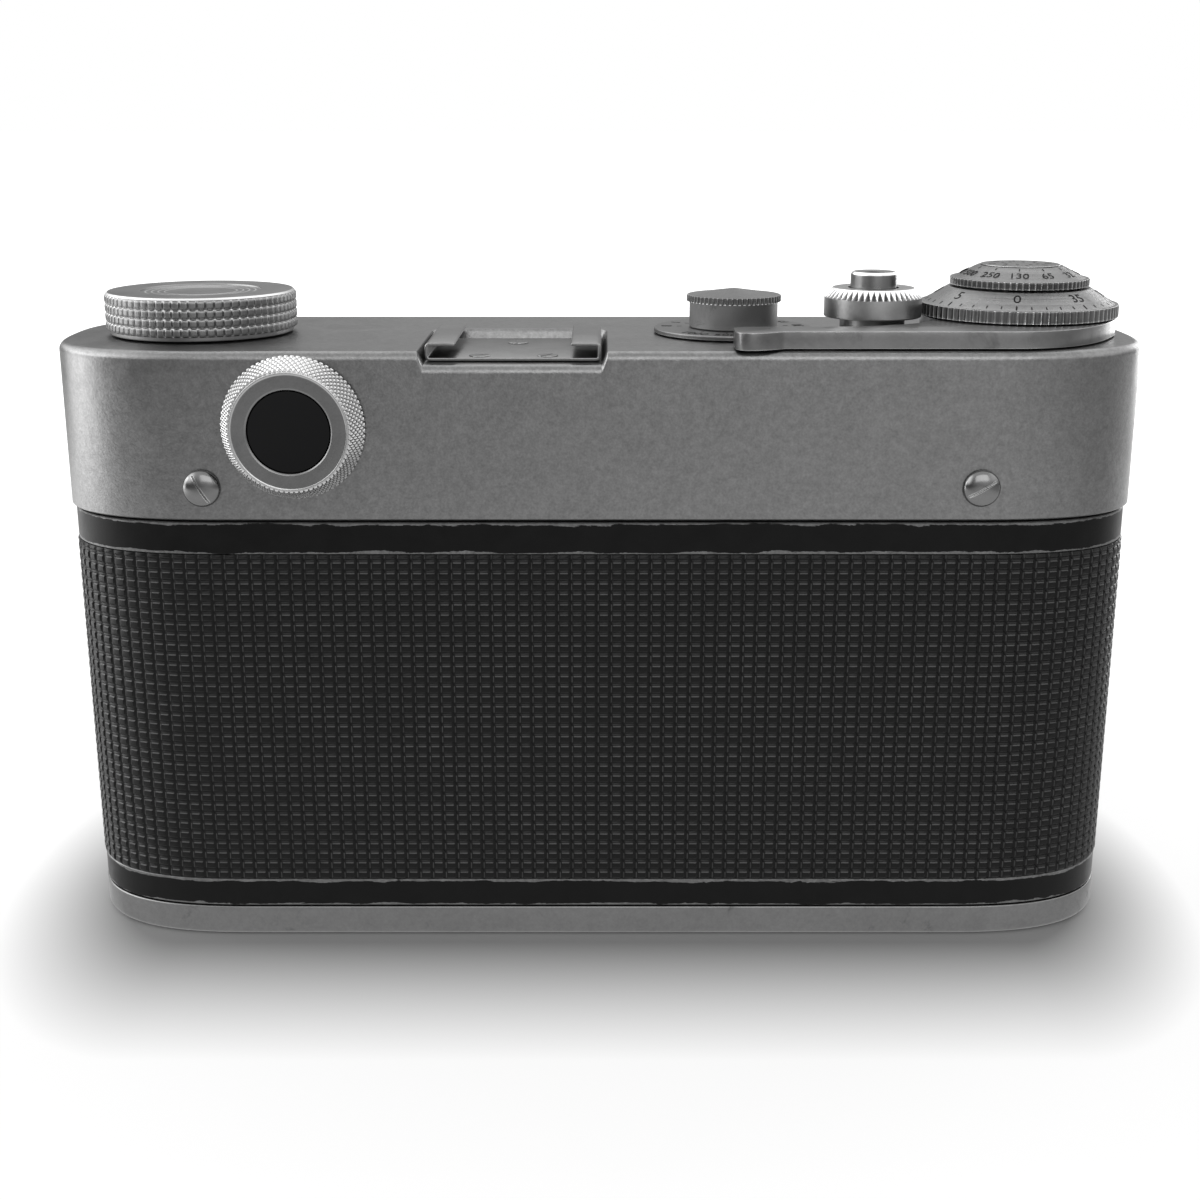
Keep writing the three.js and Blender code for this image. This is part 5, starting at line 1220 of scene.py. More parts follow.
def makeSpeedDial():
    # a drum under a fluted cap with a low cone, over a flat disc with the numbers
    k = speedDial
    capLow = speedHigh - k["cone"] - 0.85
    capHigh = speedHigh - k["cone"]
    profile = np.vstack([
        [(0, capLow - 0.02), (2.6, capLow - 0.02), (2.6, speedLow)],
        soften([(5.6, speedLow), (k["drumRadius"], speedLow + 0.1), (k["drumRadius"], capLow), (5.95, capLow)],
               0.08),
        [(k["capRadius"], capLow + 0.06), (k["capRadius"], (capLow + capHigh) / 2),
         (k["capRadius"], capHigh - 0.06)],
        soften([(5.98, capHigh), (5.6, capHigh + 0.02), (0.6, speedHigh - 0.05), (0, speedHigh)], 0.12)])
    flutes = fluteRelief(k["capRadius"], capLow + 0.05, capHigh - 0.05, k["flutes"], k["fluteDepth"], 0.25)

    def relief(r, z, a):
        # painted light on the drum under the fluted rim, lifting the shade that the cap casts on it
        r, z, pit = flutes(r, z, a)
        return r, z, np.where((z < capLow + 0.01) & (r > 5) & (r < 5.8), -0.7, pit)

    roundPiece("speed_dial_cap", profile, 8 * k["flutes"], ("up", speedX, 0, 0), speedSteel, "speed_dial",
               ["speed_dial"], relief)
    low, high = alongZ("speed_disc")
    ring = soften([(2.6, low), (10.3, low), (10.3, high - 0.08), (10.15, high), (2.6, high)], 0.06, closed=True)
    roundPiece("speed_disc_plate", ring, 144, ("up", speedX, 0, 0), discSteel, "speed_dial", ["speed_disc"])
    height, texts = high + engraving["flatLift"], k["numbers"]
    angles = [k["firstAngle"] + i * k["numberStep"] for i in range(len(texts))]
    letters = [letterMesh(text, k["numberSize"]) for text in texts]
    marks = [(shape, k["numberRadius"], height, at, 0) for shape, at in zip(letters, angles)]
    marks += [(tickMesh(*k["tick"]), k["tickRadius"], height, at, 0) for at in angles]
    marksPiece("speed_disc_numbers", marks, ("up", speedX, 0, 0), engravedBlack, "speed_dial")


makeSpeedDial()
print("speed dial made")

# Release button and rewind collar

releaseParts = {
    "collarRadius": 6.18, "stemRadius": 4.12, "teeth": 48, "toothDepth": 0.62, "chamfer": 1.05, "bore": 3.22,
    "buttonRadius": 2.92, "dish": 0.12, "hole": 1.2, "threads": 5, "springRoom": 2.1, "taller": 0.35,
    "headFoot": 80.35,
}
collarLow, collarHigh = alongZ("rewind_collar")
collarChrome = metalMaterial(
    "collarChrome", colour=0.3, roughness=0.33, speckle=0.14, edgeRadius=0.00012, edgeGain=2.0, grime=0.06,
    crest=1.0, pit=0.8)
buttonSteel = metalMaterial(
    "buttonSteel", colour=0.22, roughness=0.3, speckle=0.1, grime=0.1, edgeGain=0.0, crest=0.9, pit=0.8)


def makeCollar():
    # a stem, a drum over it and a toothed chamfer, all round the button's bore
    k = releaseParts
    drumLow, drumHigh = collarLow + 2.35, collarHigh - k["chamfer"]
    top = k["collarRadius"] - k["chamfer"]

    def relief(r, z, a):
        # notches widest and deepest at the foot of the chamfer, where they leave points, and gone at its top
        share = np.clip((collarHigh - 0.1 - z) / (k["chamfer"] - 0.1), 0, 1) ** 0.7
        zone = (r > top + 0.02) & (z > drumHigh - 0.12)
        dip = np.clip(share - triangle(stepsRound(a, k["teeth"])), 0, 1)
        # painted highlight on the points, painted shade in the notches
        pit = np.where(zone, np.clip(5 * dip - 1, -1, 0.3), -0.13)
        return np.where(zone, r - k["toothDepth"] * dip, r), z, pit

    profile = np.vstack([
        soften([(k["bore"], collarHigh - 0.02), (k["bore"], collarLow), (k["stemRadius"], collarLow),
                (k["stemRadius"], drumLow), (k["collarRadius"] - 0.1, drumLow),
                (k["collarRadius"], drumLow + 0.12), (k["collarRadius"], drumHigh - 0.15)], 0.06),
        np.linspace((k["collarRadius"], drumHigh - 0.1), (top + 0.04, collarHigh - 0.03), 12),
        [(top - 0.05, collarHigh), (k["bore"] + 0.25, collarHigh), (k["bore"] + 0.08, collarHigh - 0.05)]])
    roundPiece("rewind_collar_toothed", profile, 8 * k["teeth"], ("up", releaseX, releaseY, 0), collarChrome,
               "rewind_collar", ["rewind_collar"], relief)


def makeButton():
    # the dish falls with the square of the distance in from its rim; the hole's wall steps in and out as a
    # thread
    k = releaseParts
    low, high = alongZ("release_button")
    high, head = high + k["taller"], k["headFoot"]
    t = np.linspace(0, 1, 10)[:, None]
    dish = np.column_stack([2.4 + (k["hole"] + 0.12 - 2.4) * t, high - k["dish"] * (1 - (1 - t) ** 2) - 0.03])
    depth = np.linspace(high - k["dish"] - 0.15, high - 2.2, 2 * k["threads"] + 1)
    thread = np.column_stack([k["hole"] + 0.1 * (np.arange(len(depth)) % 2), depth])
    roof, radius = head + k["springRoom"], k["buttonRadius"]
    profile = np.vstack([
        [(0, low)],
        soften([(1.0, low), (1.2, low + 0.2), (1.2, roof), (2.6, roof), (2.6, head), (2.8, head),
                (radius, head + 0.1), (radius, high - 0.36), (2.72, high - 0.04), (2.45, high)], 0.09),
        dish, thread, [(0, high - 2.2)]])

    def relief(r, z, a):
        # painted highlight on the rim, painted shade in the hole
        rim, inside = (z > high - 0.3) & (r > 2.5), (r < k["hole"] + 0.15) & (z > head + 2)
        return r, z, np.where(rim, -1, np.where(inside, 1, 0))

    roundPiece("release_button_turned", profile, 96, ("up", releaseX, releaseY, 0), buttonSteel,
               "release_button", ["release_button"], relief)


makeCollar()
makeButton()
print("release made")

# Advance lever

advanceLever = {
    "hubRadius": 12.4, "armOuter": 17.6, "armWidth": 4.8, "reach": 37.9, "hook": 1.7, "tipLength": 6.0,
    "tipRound": 1.9, "collarRoom": 7.38, "bore": 2.6,
}
leverSteel = metalMaterial(
    "leverSteel", colour=0.19, roughness=0.3, speckle=0.1, mottle=0.15, marks=0.3, grime=0.45, grimeScale=130.0)


def makeLever():
    # outline: two short curves round the tip, the straight outer edge, a curve into the hub, and back along the
    # inner edge
    k = advanceLever
    low, high = alongZ("advance_lever")
    outer, inner = -k["armOuter"], -(k["armOuter"] - k["armWidth"])
    tipX, tipY = windX - k["reach"], outer - k["hook"]
    outline = np.vstack([
        curveThrough((tipX, tipY + k["tipRound"]), (tipX, tipY), (tipX + k["tipRound"], tipY), 10),
        curveThrough((tipX + k["tipRound"], tipY), (tipX + 3.4, tipY), (tipX + k["tipLength"], outer), 10),
        curveThrough((tipX + k["tipLength"], outer), (windX - 12, outer), (windX - 4, outer), 4),
        curveThrough((windX - 4, outer), (windX + 5.5, outer), (windX + 11.2, -5.2), 20),
        [(windX + 11.2, -5.2), (windX, 0), (windX - 9.9, -5), (releaseX, inner + 1.2), (releaseX - 6.2, inner)],
        curveThrough((tipX + 3, inner), (tipX, inner), (tipX, inner - 1.6), 10)])
    obj = meshObject("advance_lever_plate", *slab(outline, low, high))
    carve(obj, [rod(k["hubRadius"], low, high, "up", windX, 0, 0, 128)], "UNION")
    carve(obj, [rod(k["collarRoom"], low - 1, high + 1, "up", releaseX, releaseY, 0, 96),
                rod(k["bore"], low - 1, high + 1, "up", windX, 0, 0)])
    easeEdges(obj, 0.28, 3, 50)
    return finishPiece(obj, leverSteel, "advance_lever", ["advance_lever"])


makeLever()
print("lever made")

# Counter and film reminder dials

counterDial = {
    "rimRadius": 12.65, "flutes": 84, "fluteDepth": 0.26, "dirtAndShade": 0.5, "rimHeight": 1.6, "coneTop": 9.0,
    "bore": 2.8, "lift": 0, "taller": 0.45, "firstAngle": -104, "frames": 40, "everyDegrees": 9,
    "numberEvery": 5, "numberSize": 2.1, "numberAt": 0.62, "tickAt": 0.16, "longTick": (0.2, 0.75),
    "shortTick": (0.14, 0.5),
}
reminderDial = {
    "rimRadius": 8.8, "flutes": 72, "fluteDepth": 0.22, "dirtAndShade": 1.0, "rimHeight": 1.0, "coneTop": 5.35,
    "bore": 0, "lift": 0.52, "taller": 0, "firstAngle": -104, "everyDegrees": 30, "numberSize": 1.7,
    "numberAt": 0.42, "tickAt": 0.86, "tick": (0.14, 0.45), "capRadius": 5.05, "capLower": 0.03, "rays": 8,
    "numbers": ("130", "65", "32", "16", "8", "4", "", "", "", "1000", "500", "250"),
}
turnedTops = {
    "roughness": 0.28, "speckle": 0.14, "rings": 0.8, "axis": (windX, 0, 0), "grime": 0.4, "pit": 0.9,
    "turnedSheen": 0.6,
}
counterSteel = metalMaterial("counterSteel", colour=0.22, crest=0.36, **turnedTops)
reminderSteel = metalMaterial("reminderSteel", colour=0.19, crest=0.17, **turnedTops)


def makeDial(name, node_, k, material, body):
    # a fluted rim under a cone; where it has no bore, the cone closes over a hollow
    low, high = alongZ(node_)
    low, high = low + k["lift"], high + k["taller"]
    rim, rimHigh, bore = k["rimRadius"], low + k["rimHeight"], k["bore"]
    shoulder = rim - 0.5
    under = [(bore, low)] if bore else [(0, high - 0.6), (2.8, high - 0.6), (2.8, low)]
    profile = np.vstack([
        under, soften([(rim - 0.3, low), (rim - 0.04, low + 0.06)], 0.02),
        [(rim, low + 0.1), (rim, (low + rimHigh) / 2), (rim, rimHigh - 0.14)],
        soften([(rim - 0.07, rimHigh - 0.04), (rim - 0.2, rimHigh), (shoulder, rimHigh), (k["coneTop"], high),
                (bore, high)], 0.1)])
    relief = fluteRelief(rim, low + 0.09, rimHigh - 0.13, k["flutes"], k["fluteDepth"], k["dirtAndShade"])
    roundPiece(name, profile, 8 * k["flutes"], ("up", windX, 0, 0), material, body, [node_],
               relief)
    slope = math.degrees(math.atan2(high - rimHigh, shoulder - k["coneTop"]))
    return slope, (rimHigh, high, shoulder, k["coneTop"])


def onCone(share, rimHigh, high, shoulder, coneTop):
    # a point that share of the way up the cone, a hair above it
    return shoulder + (coneTop - shoulder) * share, rimHigh + (high - rimHigh) * share + engraving["coneLift"]


def makeCounter():
    # a tick for each frame, and a longer one with its number for every fifth
    k = counterDial
    slope, cone = makeDial("counter_dial_cone", "counter_dial", k, counterSteel, "counter_dial")
    marks = []
    for number in range(k["frames"]):
        degrees = k["firstAngle"] - k["everyDegrees"] * number
        long = number % k["numberEvery"] == 0
        if long:
            marks.append((letterMesh(str(number), k["numberSize"]), *onCone(k["numberAt"], *cone), degrees,
                          slope))
        tick = tickMesh(*k["longTick" if long else "shortTick"])
        marks.append((tick, *onCone(k["tickAt"], *cone), degrees, slope))
    marksPiece("counter_dial_numbers", marks, ("up", windX, 0, 0), engravedBlack, "counter_dial")


def makeReminder():
    # a tick for each film speed, its number under it, and a cap with rays and dots by turns
    k = reminderDial
    slope, cone = makeDial("reminder_dial_cone", "reminder_dial", k, reminderSteel, "reminder_dial")
    marks = []
    for i, text in enumerate(k["numbers"]):
        degrees = k["firstAngle"] + k["everyDegrees"] * i
        if text:
            marks.append((letterMesh(text, k["numberSize"]), *onCone(k["numberAt"], *cone), degrees, slope))
        marks.append((tickMesh(*k["tick"]), *onCone(k["tickAt"], *cone), degrees, slope))
    marksPiece("reminder_dial_numbers", marks, ("up", windX, 0, 0), engravedBlack, "reminder_dial")
    low, top = alongZ("reminder_cap")
    top, radius = top - k["capLower"], k["capRadius"]
    cap = soften([(0, low), (radius, low), (radius, top - 0.05), (radius - 0.15, top), (0, top)], 0.05)
    roundPiece("reminder_cap_disc", cap, 96, ("up", windX, 0, 0), reminderSteel, "reminder_dial",
               ["reminder_cap"])
    height, step = top + engraving["flatLift"], 360 / k["rays"]
    rays = [(tickMesh(0.16, 0.9), 3.6, height, -90 + step * i, 0) for i in range(k["rays"])]
    dots = [(tickMesh(0.35, 0.35), 2.2, height, -90 + step * (i + 0.5), 0) for i in range(k["rays"])]
    marksPiece("reminder_cap_marks", rays + dots, ("up", windX, 0, 0), engravedBlack, "reminder_dial")


makeCounter()
makeReminder()
print("dials made")

# Lens

lensParts = {
    "focusFlutes": 108, "focusBlocks": 12, "focusDepth": 0.5, "focusGripLow": 20.75, "focusGripHigh": 26.35,
    "distances": ("1", "1.2", "1.5", "2", "3", "5", "10", "20"), "distanceStep": 24, "distanceSize": 2.1,
    "apertureFlutes": 96, "apertureDepth": 0.35, "apertures": ("2.8", "4", "5.6", "8", "11", "16"),
    "apertureStep": 22, "apertureSize": 1.55, "threadPitch": 0.75, "threadDepth": 0.16,
}
engravedWhite = paintMaterial("engravedWhite", colour=0.6, roughness=0.5, edgeGain=0.0, bareLow=0.4,
                              bareHigh=0.5)
lensBlack = paintMaterial("lensBlack", colour=0.008, roughness=0.34, specular=0.4, chip=0.5, bareLow=0.2,
                          bareHigh=0.34)
lensChrome = metalMaterial(
    "lensChrome", colour=0.32, roughness=0.3, rings=0.3, axis=(lensX, 0, lensZ), facing="front", grime=0.3,
    pit=0.8, crest=0.45)
lensPlace = ("front", lensX, 0, lensZ)


def makeFocusRing():
    # flutes cut into blocks by wider hollows: depth x (land share x flute wave + hollow share)
    k = lensParts
    low, high = alongY("focus_ring")
    gripLow, gripHigh = k["focusGripLow"], k["focusGripHigh"]

    def relief(r, z, a):
        # land is 1 on a block and 0 in the hollow beside it
        zone = (r > 24.8) & (z > gripLow - 0.01) & (z < gripHigh + 0.01)
        land = smooth((triangle(stepsRound(a, k["focusBlocks"])) - 0.28) / 0.08)
        dip = land * (1 - np.abs(np.sin(a * k["focusFlutes"] / 2)) ** 0.8) * 0.8 + (1 - land)
        return np.where(zone, r - k["focusDepth"] * dip, r), z, np.where(zone, dip, 0)

    profile = np.vstack([
        soften([(21.2, low), (24.0, low), (24.35, low + 0.1), (24.35, gripLow - 0.08)], 0.1),
        np.linspace((24.9, gripLow), (24.9, gripHigh), 6),
        soften([(24.2, gripHigh + 0.06), (24.2, gripHigh + 0.45), (24.75, gripHigh + 0.55),
                (24.75, high - 0.35), (24.4, high), (21.4, high), (21.2, high - 0.2)], 0.12)])
    roundPiece("focus_ring_fluted", profile, 8 * k["focusFlutes"], lensPlace, lensBlack, "focus_ring",
               ["focus_ring"], relief, sharpAngle=cutSharpAngle)
    middle = (gripHigh + 0.6 + high - 0.3) / 2
    marks = [(letterMesh(text, k["distanceSize"]), 24.76, middle, 90 + k["distanceStep"] * (i - 3.5), 90)
             for i, text in enumerate(k["distances"])]
    marksPiece("focus_ring_distances", marks, lensPlace, engravedWhite, "focus_ring")


def makeApertureRing():
    # a fluted grip behind a plain band with the numbers
    k = lensParts
    low, high = alongY("aperture_ring")
    radius, gripHigh = 21.5, low + 1.9
    relief = fluteRelief(radius, low + 0.2, gripHigh, k["apertureFlutes"], k["apertureDepth"])
    profile = np.vstack([
        [(17.5, low), (21.1, low), (21.3, low + 0.15)],
        [(radius, low + 0.25), (radius, (low + gripHigh) / 2), (radius, gripHigh - 0.05)],
        soften([(21.2, gripHigh + 0.05), (21.2, gripHigh + 0.2), (21.1, high - 0.25), (20.85, high),
                (17.7, high), (17.5, high - 0.2)], 0.08)])
    roundPiece("aperture_ring_fluted", profile, 8 * k["apertureFlutes"], lensPlace, lensChrome, "aperture_ring",
               ["aperture_ring"], relief)
    middle = (gripHigh + high) / 2
    marks = [(letterMesh(text, k["apertureSize"]), 21.18, middle, 90 + k["apertureStep"] * (i - 2.5), 90)
             for i, text in enumerate(k["apertures"])]
    marksPiece("aperture_ring_numbers", marks, lensPlace, engravedBlack, "aperture_ring")


def makeLensHead():
    # the bore's wall goes in and out with a triangle wave as the filter thread
    k = lensParts
    low, high = alongY("lens_cell")
    headLow, floorY = 35.95, 39.95
    y = np.arange(high - 0.5, floorY + 0.5, -k["threadPitch"] / 4)
    thread = np.column_stack([16.6 + k["threadDepth"] * triangle((y - high) / k["threadPitch"]), y])
    profile = np.vstack([
        soften([(15.7, low), (17.2, low), (17.2, headLow), (19.4, headLow), (19.7, headLow + 0.3),
                (19.7, headLow + 2.0), (19.3, headLow + 2.2), (19.3, headLow + 2.7), (20.0, headLow + 2.9),
                (20.0, high - 0.6), (19.5, high), (17.3, high), (16.9, high - 0.35)], 0.12),
        thread, [(16.6, floorY), (15.7, floorY)]])
    roundPiece("lens_head_turned", profile, 256, lensPlace, lensChrome, "lens_cell", ["lens_cell"])
    low, high = alongY("retaining_ring")
    ring = soften([(14.0, low), (16.4, low), (16.4, high - 0.1), (16.2, high), (14.5, high),
                   (14.0, high - 0.4)], 0.1, closed=True)
    notches = [stand(block(-18, 18, -0.7, 0.7, high - 0.5, high + 1), *lensPlace)]
    roundPiece("retaining_ring_notched", ring, 160, lensPlace, lensBlack, "lens_cell", ["retaining_ring"],
               cutters=notches)
    t = np.linspace(1, 0, 20)
    for name, bulge in (("front_glass", 1.5), ("rear_glass", -1.4)):
        low, high = alongY(name)
        radius = (cadBox(name)[1][0] - cadBox(name)[0][0]) / 2
        if bulge > 0:
            dome = np.column_stack([radius * t, high - bulge * t ** 2])
            profile = np.vstack([[(0, low), (radius - 0.1, low), (radius, low + 0.1)], dome])
        else:
            dome = np.column_stack([radius * t[::-1], low - bulge * t[::-1] ** 2])
            profile = np.vstack([dome, [(radius, high - 0.1), (radius - 0.1, high), (0, high)]])
        roundPiece(name + "_domed", profile, 128, lensPlace, lensGlass, "lens_cell", [name])
    low, high = alongY("lens_mount_ring")
    ring = soften([(19.5, low), (21.0, low), (21.0, high - 0.25), (20.75, high), (19.7, high),
                   (19.5, high - 0.2)], 0.08, closed=True)
    roundPiece("lens_mount_ring_turned", ring, 200, lensPlace, lensChrome, "camera_body", ["lens_mount_ring"])


lensGlass = glassMaterial(
    "lensGlass", colour=(0.006, 0.005, 0.012), roughness=0.02, coat=1.0, tint=(0.45, 0.3, 0.75))
makeFocusRing()
makeApertureRing()
makeLensHead()
print("lens made")

# Windows, self-timer and flash socket

windowGlass = glassMaterial("windowGlass", colour=(0.008, 0.009, 0.014), coat=0.8, tint=(0.5, 0.55, 0.8))


def makeFinderWindow():
    # rounded rectangles lofted from the back to a raised pane; each corner is its centre plus a radius round it
    low, high = cadBox("viewfinder_window")
    middle, half = (low + high) / 2, (high - low) / 2
    corner, steps = 1.0, ((0.1, low[1]), (0.0, low[1] + 0.1), (0.0, high[1] - 0.35), (0.12, high[1] - 0.25),
                          (0.5, high[1] - 0.22), (0.75, high[1]), (0.9, high[1]))
    count = 64
    a = np.linspace(0, 2 * np.pi, count, endpoint=False) + np.pi / count
    c, s = np.cos(a), np.sin(a)
    rings = [np.column_stack([
        middle[0] + np.sign(c) * (half[0] - corner) + (corner - inset) * c, np.full(count, y),
        middle[2] + np.sign(s) * (half[2] - corner) + (corner - inset) * s]) for inset, y in steps]
    first, last = np.arange(count), (len(steps) - 1) * count
    faces = [gridFaces(len(steps), count, False, True), first[None, ::-1], last + first[None]]
    obj = meshObject("viewfinder_window_pane", np.vstack(rings), faces)
    finishPiece(obj, windowGlass, "camera_body", ["viewfinder_window"])


def makeRangefinderWindow():
    # a round pane in steps, raised in the middle
    low, high = alongY("rangefinder_window")
    profile = soften([(0, low), (3.0, low), (3.1, low + 0.1), (3.1, high - 0.3), (2.7, high - 0.22),
                      (2.5, high - 0.05), (2.0, high), (0, high)], 0.06)
    roundPiece("rangefinder_window_pane", profile, 72, ("front", finderX, 0, eyeZ), windowGlass, "camera_body",
               ["rangefinder_window"])


def makeSelfTimer():
    # a tapering blade with a round end joined to a turned hub
    low, high = cadBox("self_timer_lever")
    bladeLow, bladeHigh = 18.85, 20.45
    a = np.linspace(0, np.pi, 17)
    tip = np.column_stack([2.4 * np.cos(a), low[2] + 2.4 - timerZ - 2.4 * np.sin(a)])
    blade = slab(np.vstack([[(-3.2, -2.5), (-3.2, 0), (3.2, 0), (3.2, -2.5)], tip]), bladeLow, bladeHigh)
    obj = meshObject("self_timer_blade", *stand(blade, "front", timerX, 0, timerZ))
    foot, top = low[1], high[1]
    hub = soften([(0, foot), (1.1, foot), (1.1, bladeLow), (4.85, bladeLow), (5, bladeLow + 0.15),
                  (5, top - 0.5), (4.6, top - 0.12), (3.6, top), (3.3, top - 0.2), (3.0, top - 0.2), (2.8, top),
                  (0, top)], 0.1)
    carve(obj, [stand(turned(hub, 96), "front", timerX, 0, timerZ)], "UNION")
    easeEdges(obj, 0.15, 2, 60)
    finishPiece(obj, lensChrome, "self_timer_lever", ["self_timer_lever"])


def makeSyncSocket():
    # a sleeve round the pin's hole and another round that, turned in one profile
    low, high = alongY("sync_socket")
    profile = soften([(0, low + 0.8), (1.0, low + 0.8), (1.0, high - 0.1), (1.15, high), (1.7, high),
                      (1.8, high - 0.5), (2.2, high - 0.5), (2.35, high - 0.1), (2.8, high - 0.15),
                      (3.0, high - 0.4), (3.0, low + 1.2), (2.45, low + 1.1), (2.45, low), (0, low)], 0.08)
    roundPiece("sync_socket_turned", profile, 72, ("front", socketX, 0, socketZ), lensChrome, "camera_body",
               ["sync_socket"])


makeFinderWindow()
makeRangefinderWindow()
makeSelfTimer()
makeSyncSocket()
print("front made")

# Tripod bush

tripodBush = {"pitch": 1.27, "radius": 3.3, "threadDepth": 0.35}
brassParts = metalMaterial(
    "brassParts", colour=(0.5, 0.36, 0.14), edgeColour=(0.75, 0.6, 0.3), roughness=0.3, grime=0.3,
    grimeColour=(0.08, 0.05, 0.02))


def makeTripodBush():
    # the hole's wall goes in and out with a triangle wave as the thread
    k, radius = tripodBush, tripodBush["radius"]
    low, high = alongZ("tripod_bush")
    z = np.arange(low + 7.0, low + 0.5, -k["pitch"] / 4)
    thread = np.column_stack([radius - k["threadDepth"] * triangle(z / k["pitch"]), z])
    profile = np.vstack([
        [(0, low + 7.4), (radius, low + 7.4)], thread,
        soften([(radius, low + 0.4), (3.75, low), (5.8, low), (6.0, low + 0.2), (6.0, high - 0.1), (5.9, high),
                (0, high)], 0.05)])
    roundPiece("tripod_bush_threaded", profile, 96, ("up", lensX, 0, 0), brassParts, "back", ["tripod_bush"])


makeTripodBush()

# Solids carried over

insideSteel = metalMaterial("insideSteel", colour=0.3, roughness=0.26, grime=0.2)
darkSteel = metalMaterial("darkSteel", colour=0.18, roughness=0.36, grime=0.35)
mirrorGlass = metalMaterial("mirrorGlass", colour=0.8, roughness=0.06, speckle=0.02, mottle=0.05, bump=0.01,
                            grime=0.1)
castBlack = metalMaterial("castBlack", colour=0.03, roughness=0.5, metallic=0.4, bump=0.4, speckle=0.4,
                          edgeColour=0.15)
blackPaint = paintMaterial("blackPaint")
clearGlass = glassMaterial("clearGlass")
curtainCloth = clothMaterial("curtainCloth")
satinParts = metalMaterial("satinParts", colour=0.22, roughness=0.33)
solidEdges = {"join": 1e-6, "width": 0.1, "segments": 2, "angle": 40}
carried = {
    "satin_chrome": satinParts, "dark_steel": darkSteel, "bright_steel": insideSteel, "black_paint": blackPaint,
    "covering": coveringSkin, "casting": castBlack, "brass": brassParts, "glass": clearGlass,
    "mirror": mirrorGlass, "cloth": curtainCloth,
}


def dressSolid(solid):
    # the slot's own name picks the material; welded and slightly rounded edges catch the light
    used = solid.data.materials[0].name if solid.data.materials else ""
    match = [slot for slot in carried if slot in used]
    solid.data.materials.clear()
    solid.data.materials.append(carried[match[0]] if match else satinParts)
    joined = solid.modifiers.new("join", "WELD")
    joined.merge_threshold = solidEdges["join"]
    rounded = solid.modifiers.new("ease", "BEVEL")
    rounded.width, rounded.segments = solidEdges["width"] * mm, solidEdges["segments"]
    rounded.limit_method, rounded.angle_limit = "ANGLE", math.radians(solidEdges["angle"])


for solid in nodes.values():
    if not solid.hide_render:
        dressSolid(solid)
print("solids dressed")

# Floor, light and camera

# a band of two numbers runs from 0 at the first place to 1 at the second; four numbers also give its two end
# values
floorLook = {
    "paint": 0.32, "size": 9, "drop": 0.00002, "halfLength": 0.055, "halfDepth": 0.0185, "sideSpread": 1.85,
    "paintedShadowBand": (0.002, 0.031, 0.0, 0.74), "farBand": (0.05, 0.5, 0.0, 0.5),
    "mirrored": 0.74, "frontBand": (-0.1, -0.3), "frontAcross": (-0.35, 0.25, 0.0, 0.78),
    "rightDim": (0.15, 0.28, 0.0, 0.62), "rightReach": (0.1, -0.05), "leftGlow": (-0.14, -0.27),
    "leftNear": (-0.26, -0.06), "leftFar": (0.14, 0.3), "farLeftDim": (-0.1, -0.16, 0.0, 0.65),
}
skyLook = {
    "matt": 0.58, "nearAcross": (-0.5, 0.3, 0.3, 1.25), "nearRight": (0.35, 0.85, 1.0, 0.4), "farLevel": 0.515,
    "farLeft": (-0.1, -0.34, 1.0, 0.45), "nearToFar": (-0.3, 0.6), "horizon": (0.0, 0.35, 0.6, 1.05),
    "zenith": 1.15, "zenithBand": (0.25, 0.75), "highLeft": (-0.45, -0.72, 0.0, 2.6),
    "highRight": (0.5, 0.78, 0.0, 0.8), "highFoot": (0.08, 0.3), "highTop": (0.7, 0.95, 1.0, 0.0),
}


def rayKinds(tree):
    # 1 for what the camera sees, straight or through glass, and 1 for what metal and glass mirror
    path = node(tree, "ShaderNodeLightPath").outputs
    return calc(tree, "MAXIMUM", path["Is Camera Ray"], path["Is Transmission Ray"]), path["Is Glossy Ray"]


def dimmedBy(tree, value, share):
    # value times one less the share
    return calc(tree, "MULTIPLY", value, calc(tree, "SUBTRACT", 1.0, share))


def shadowLift(tree, x, y):
    # grows with the distance from the base: held back near it, the glow paints a shadow round the base over the
    # real one, and further off the floor meets the backdrop in white
    k = floorLook
    beside = calc(tree, "MAXIMUM", calc(tree, "SUBTRACT", calc(tree, "ABSOLUTE", x), k["halfLength"]), 0.0)
    beside = calc(tree, "MULTIPLY", beside, k["sideSpread"])
    away = calc(tree, "SQRT", calc(tree, "ADD", calc(tree, "POWER", beside, 2.0), calc(tree, "POWER", y, 2.0)))
    away = calc(tree, "SUBTRACT", away, k["halfDepth"])
    return calc(tree, "ADD", ramp(tree, away, *k["paintedShadowBand"]), ramp(tree, away, *k["farBand"]))


def mirroredLift(tree, x, y):
    # what metal sees: dimmer towards the viewer and on its left there, dimmer near on the right and far on the
    # left, and a glow beside the left end
    k = floorLook
    lift = mixValue(tree, ramp(tree, y, *k["frontBand"]), k["mirrored"], ramp(tree, x, *k["frontAcross"]))
    right = calc(tree, "MULTIPLY", ramp(tree, x, *k["rightDim"]), ramp(tree, y, *k["rightReach"]))
    lift = dimmedBy(tree, lift, right)
    beyond = ramp(tree, y, *k["leftFar"])
    lift = dimmedBy(tree, lift, calc(tree, "MULTIPLY", beyond, ramp(tree, x, *k["farLeftDim"])))
    glow = calc(tree, "MULTIPLY", ramp(tree, x, *k["leftGlow"]), ramp(tree, y, *k["leftNear"]))
    return calc(tree, "ADD", dimmedBy(tree, glow, beyond), lift)


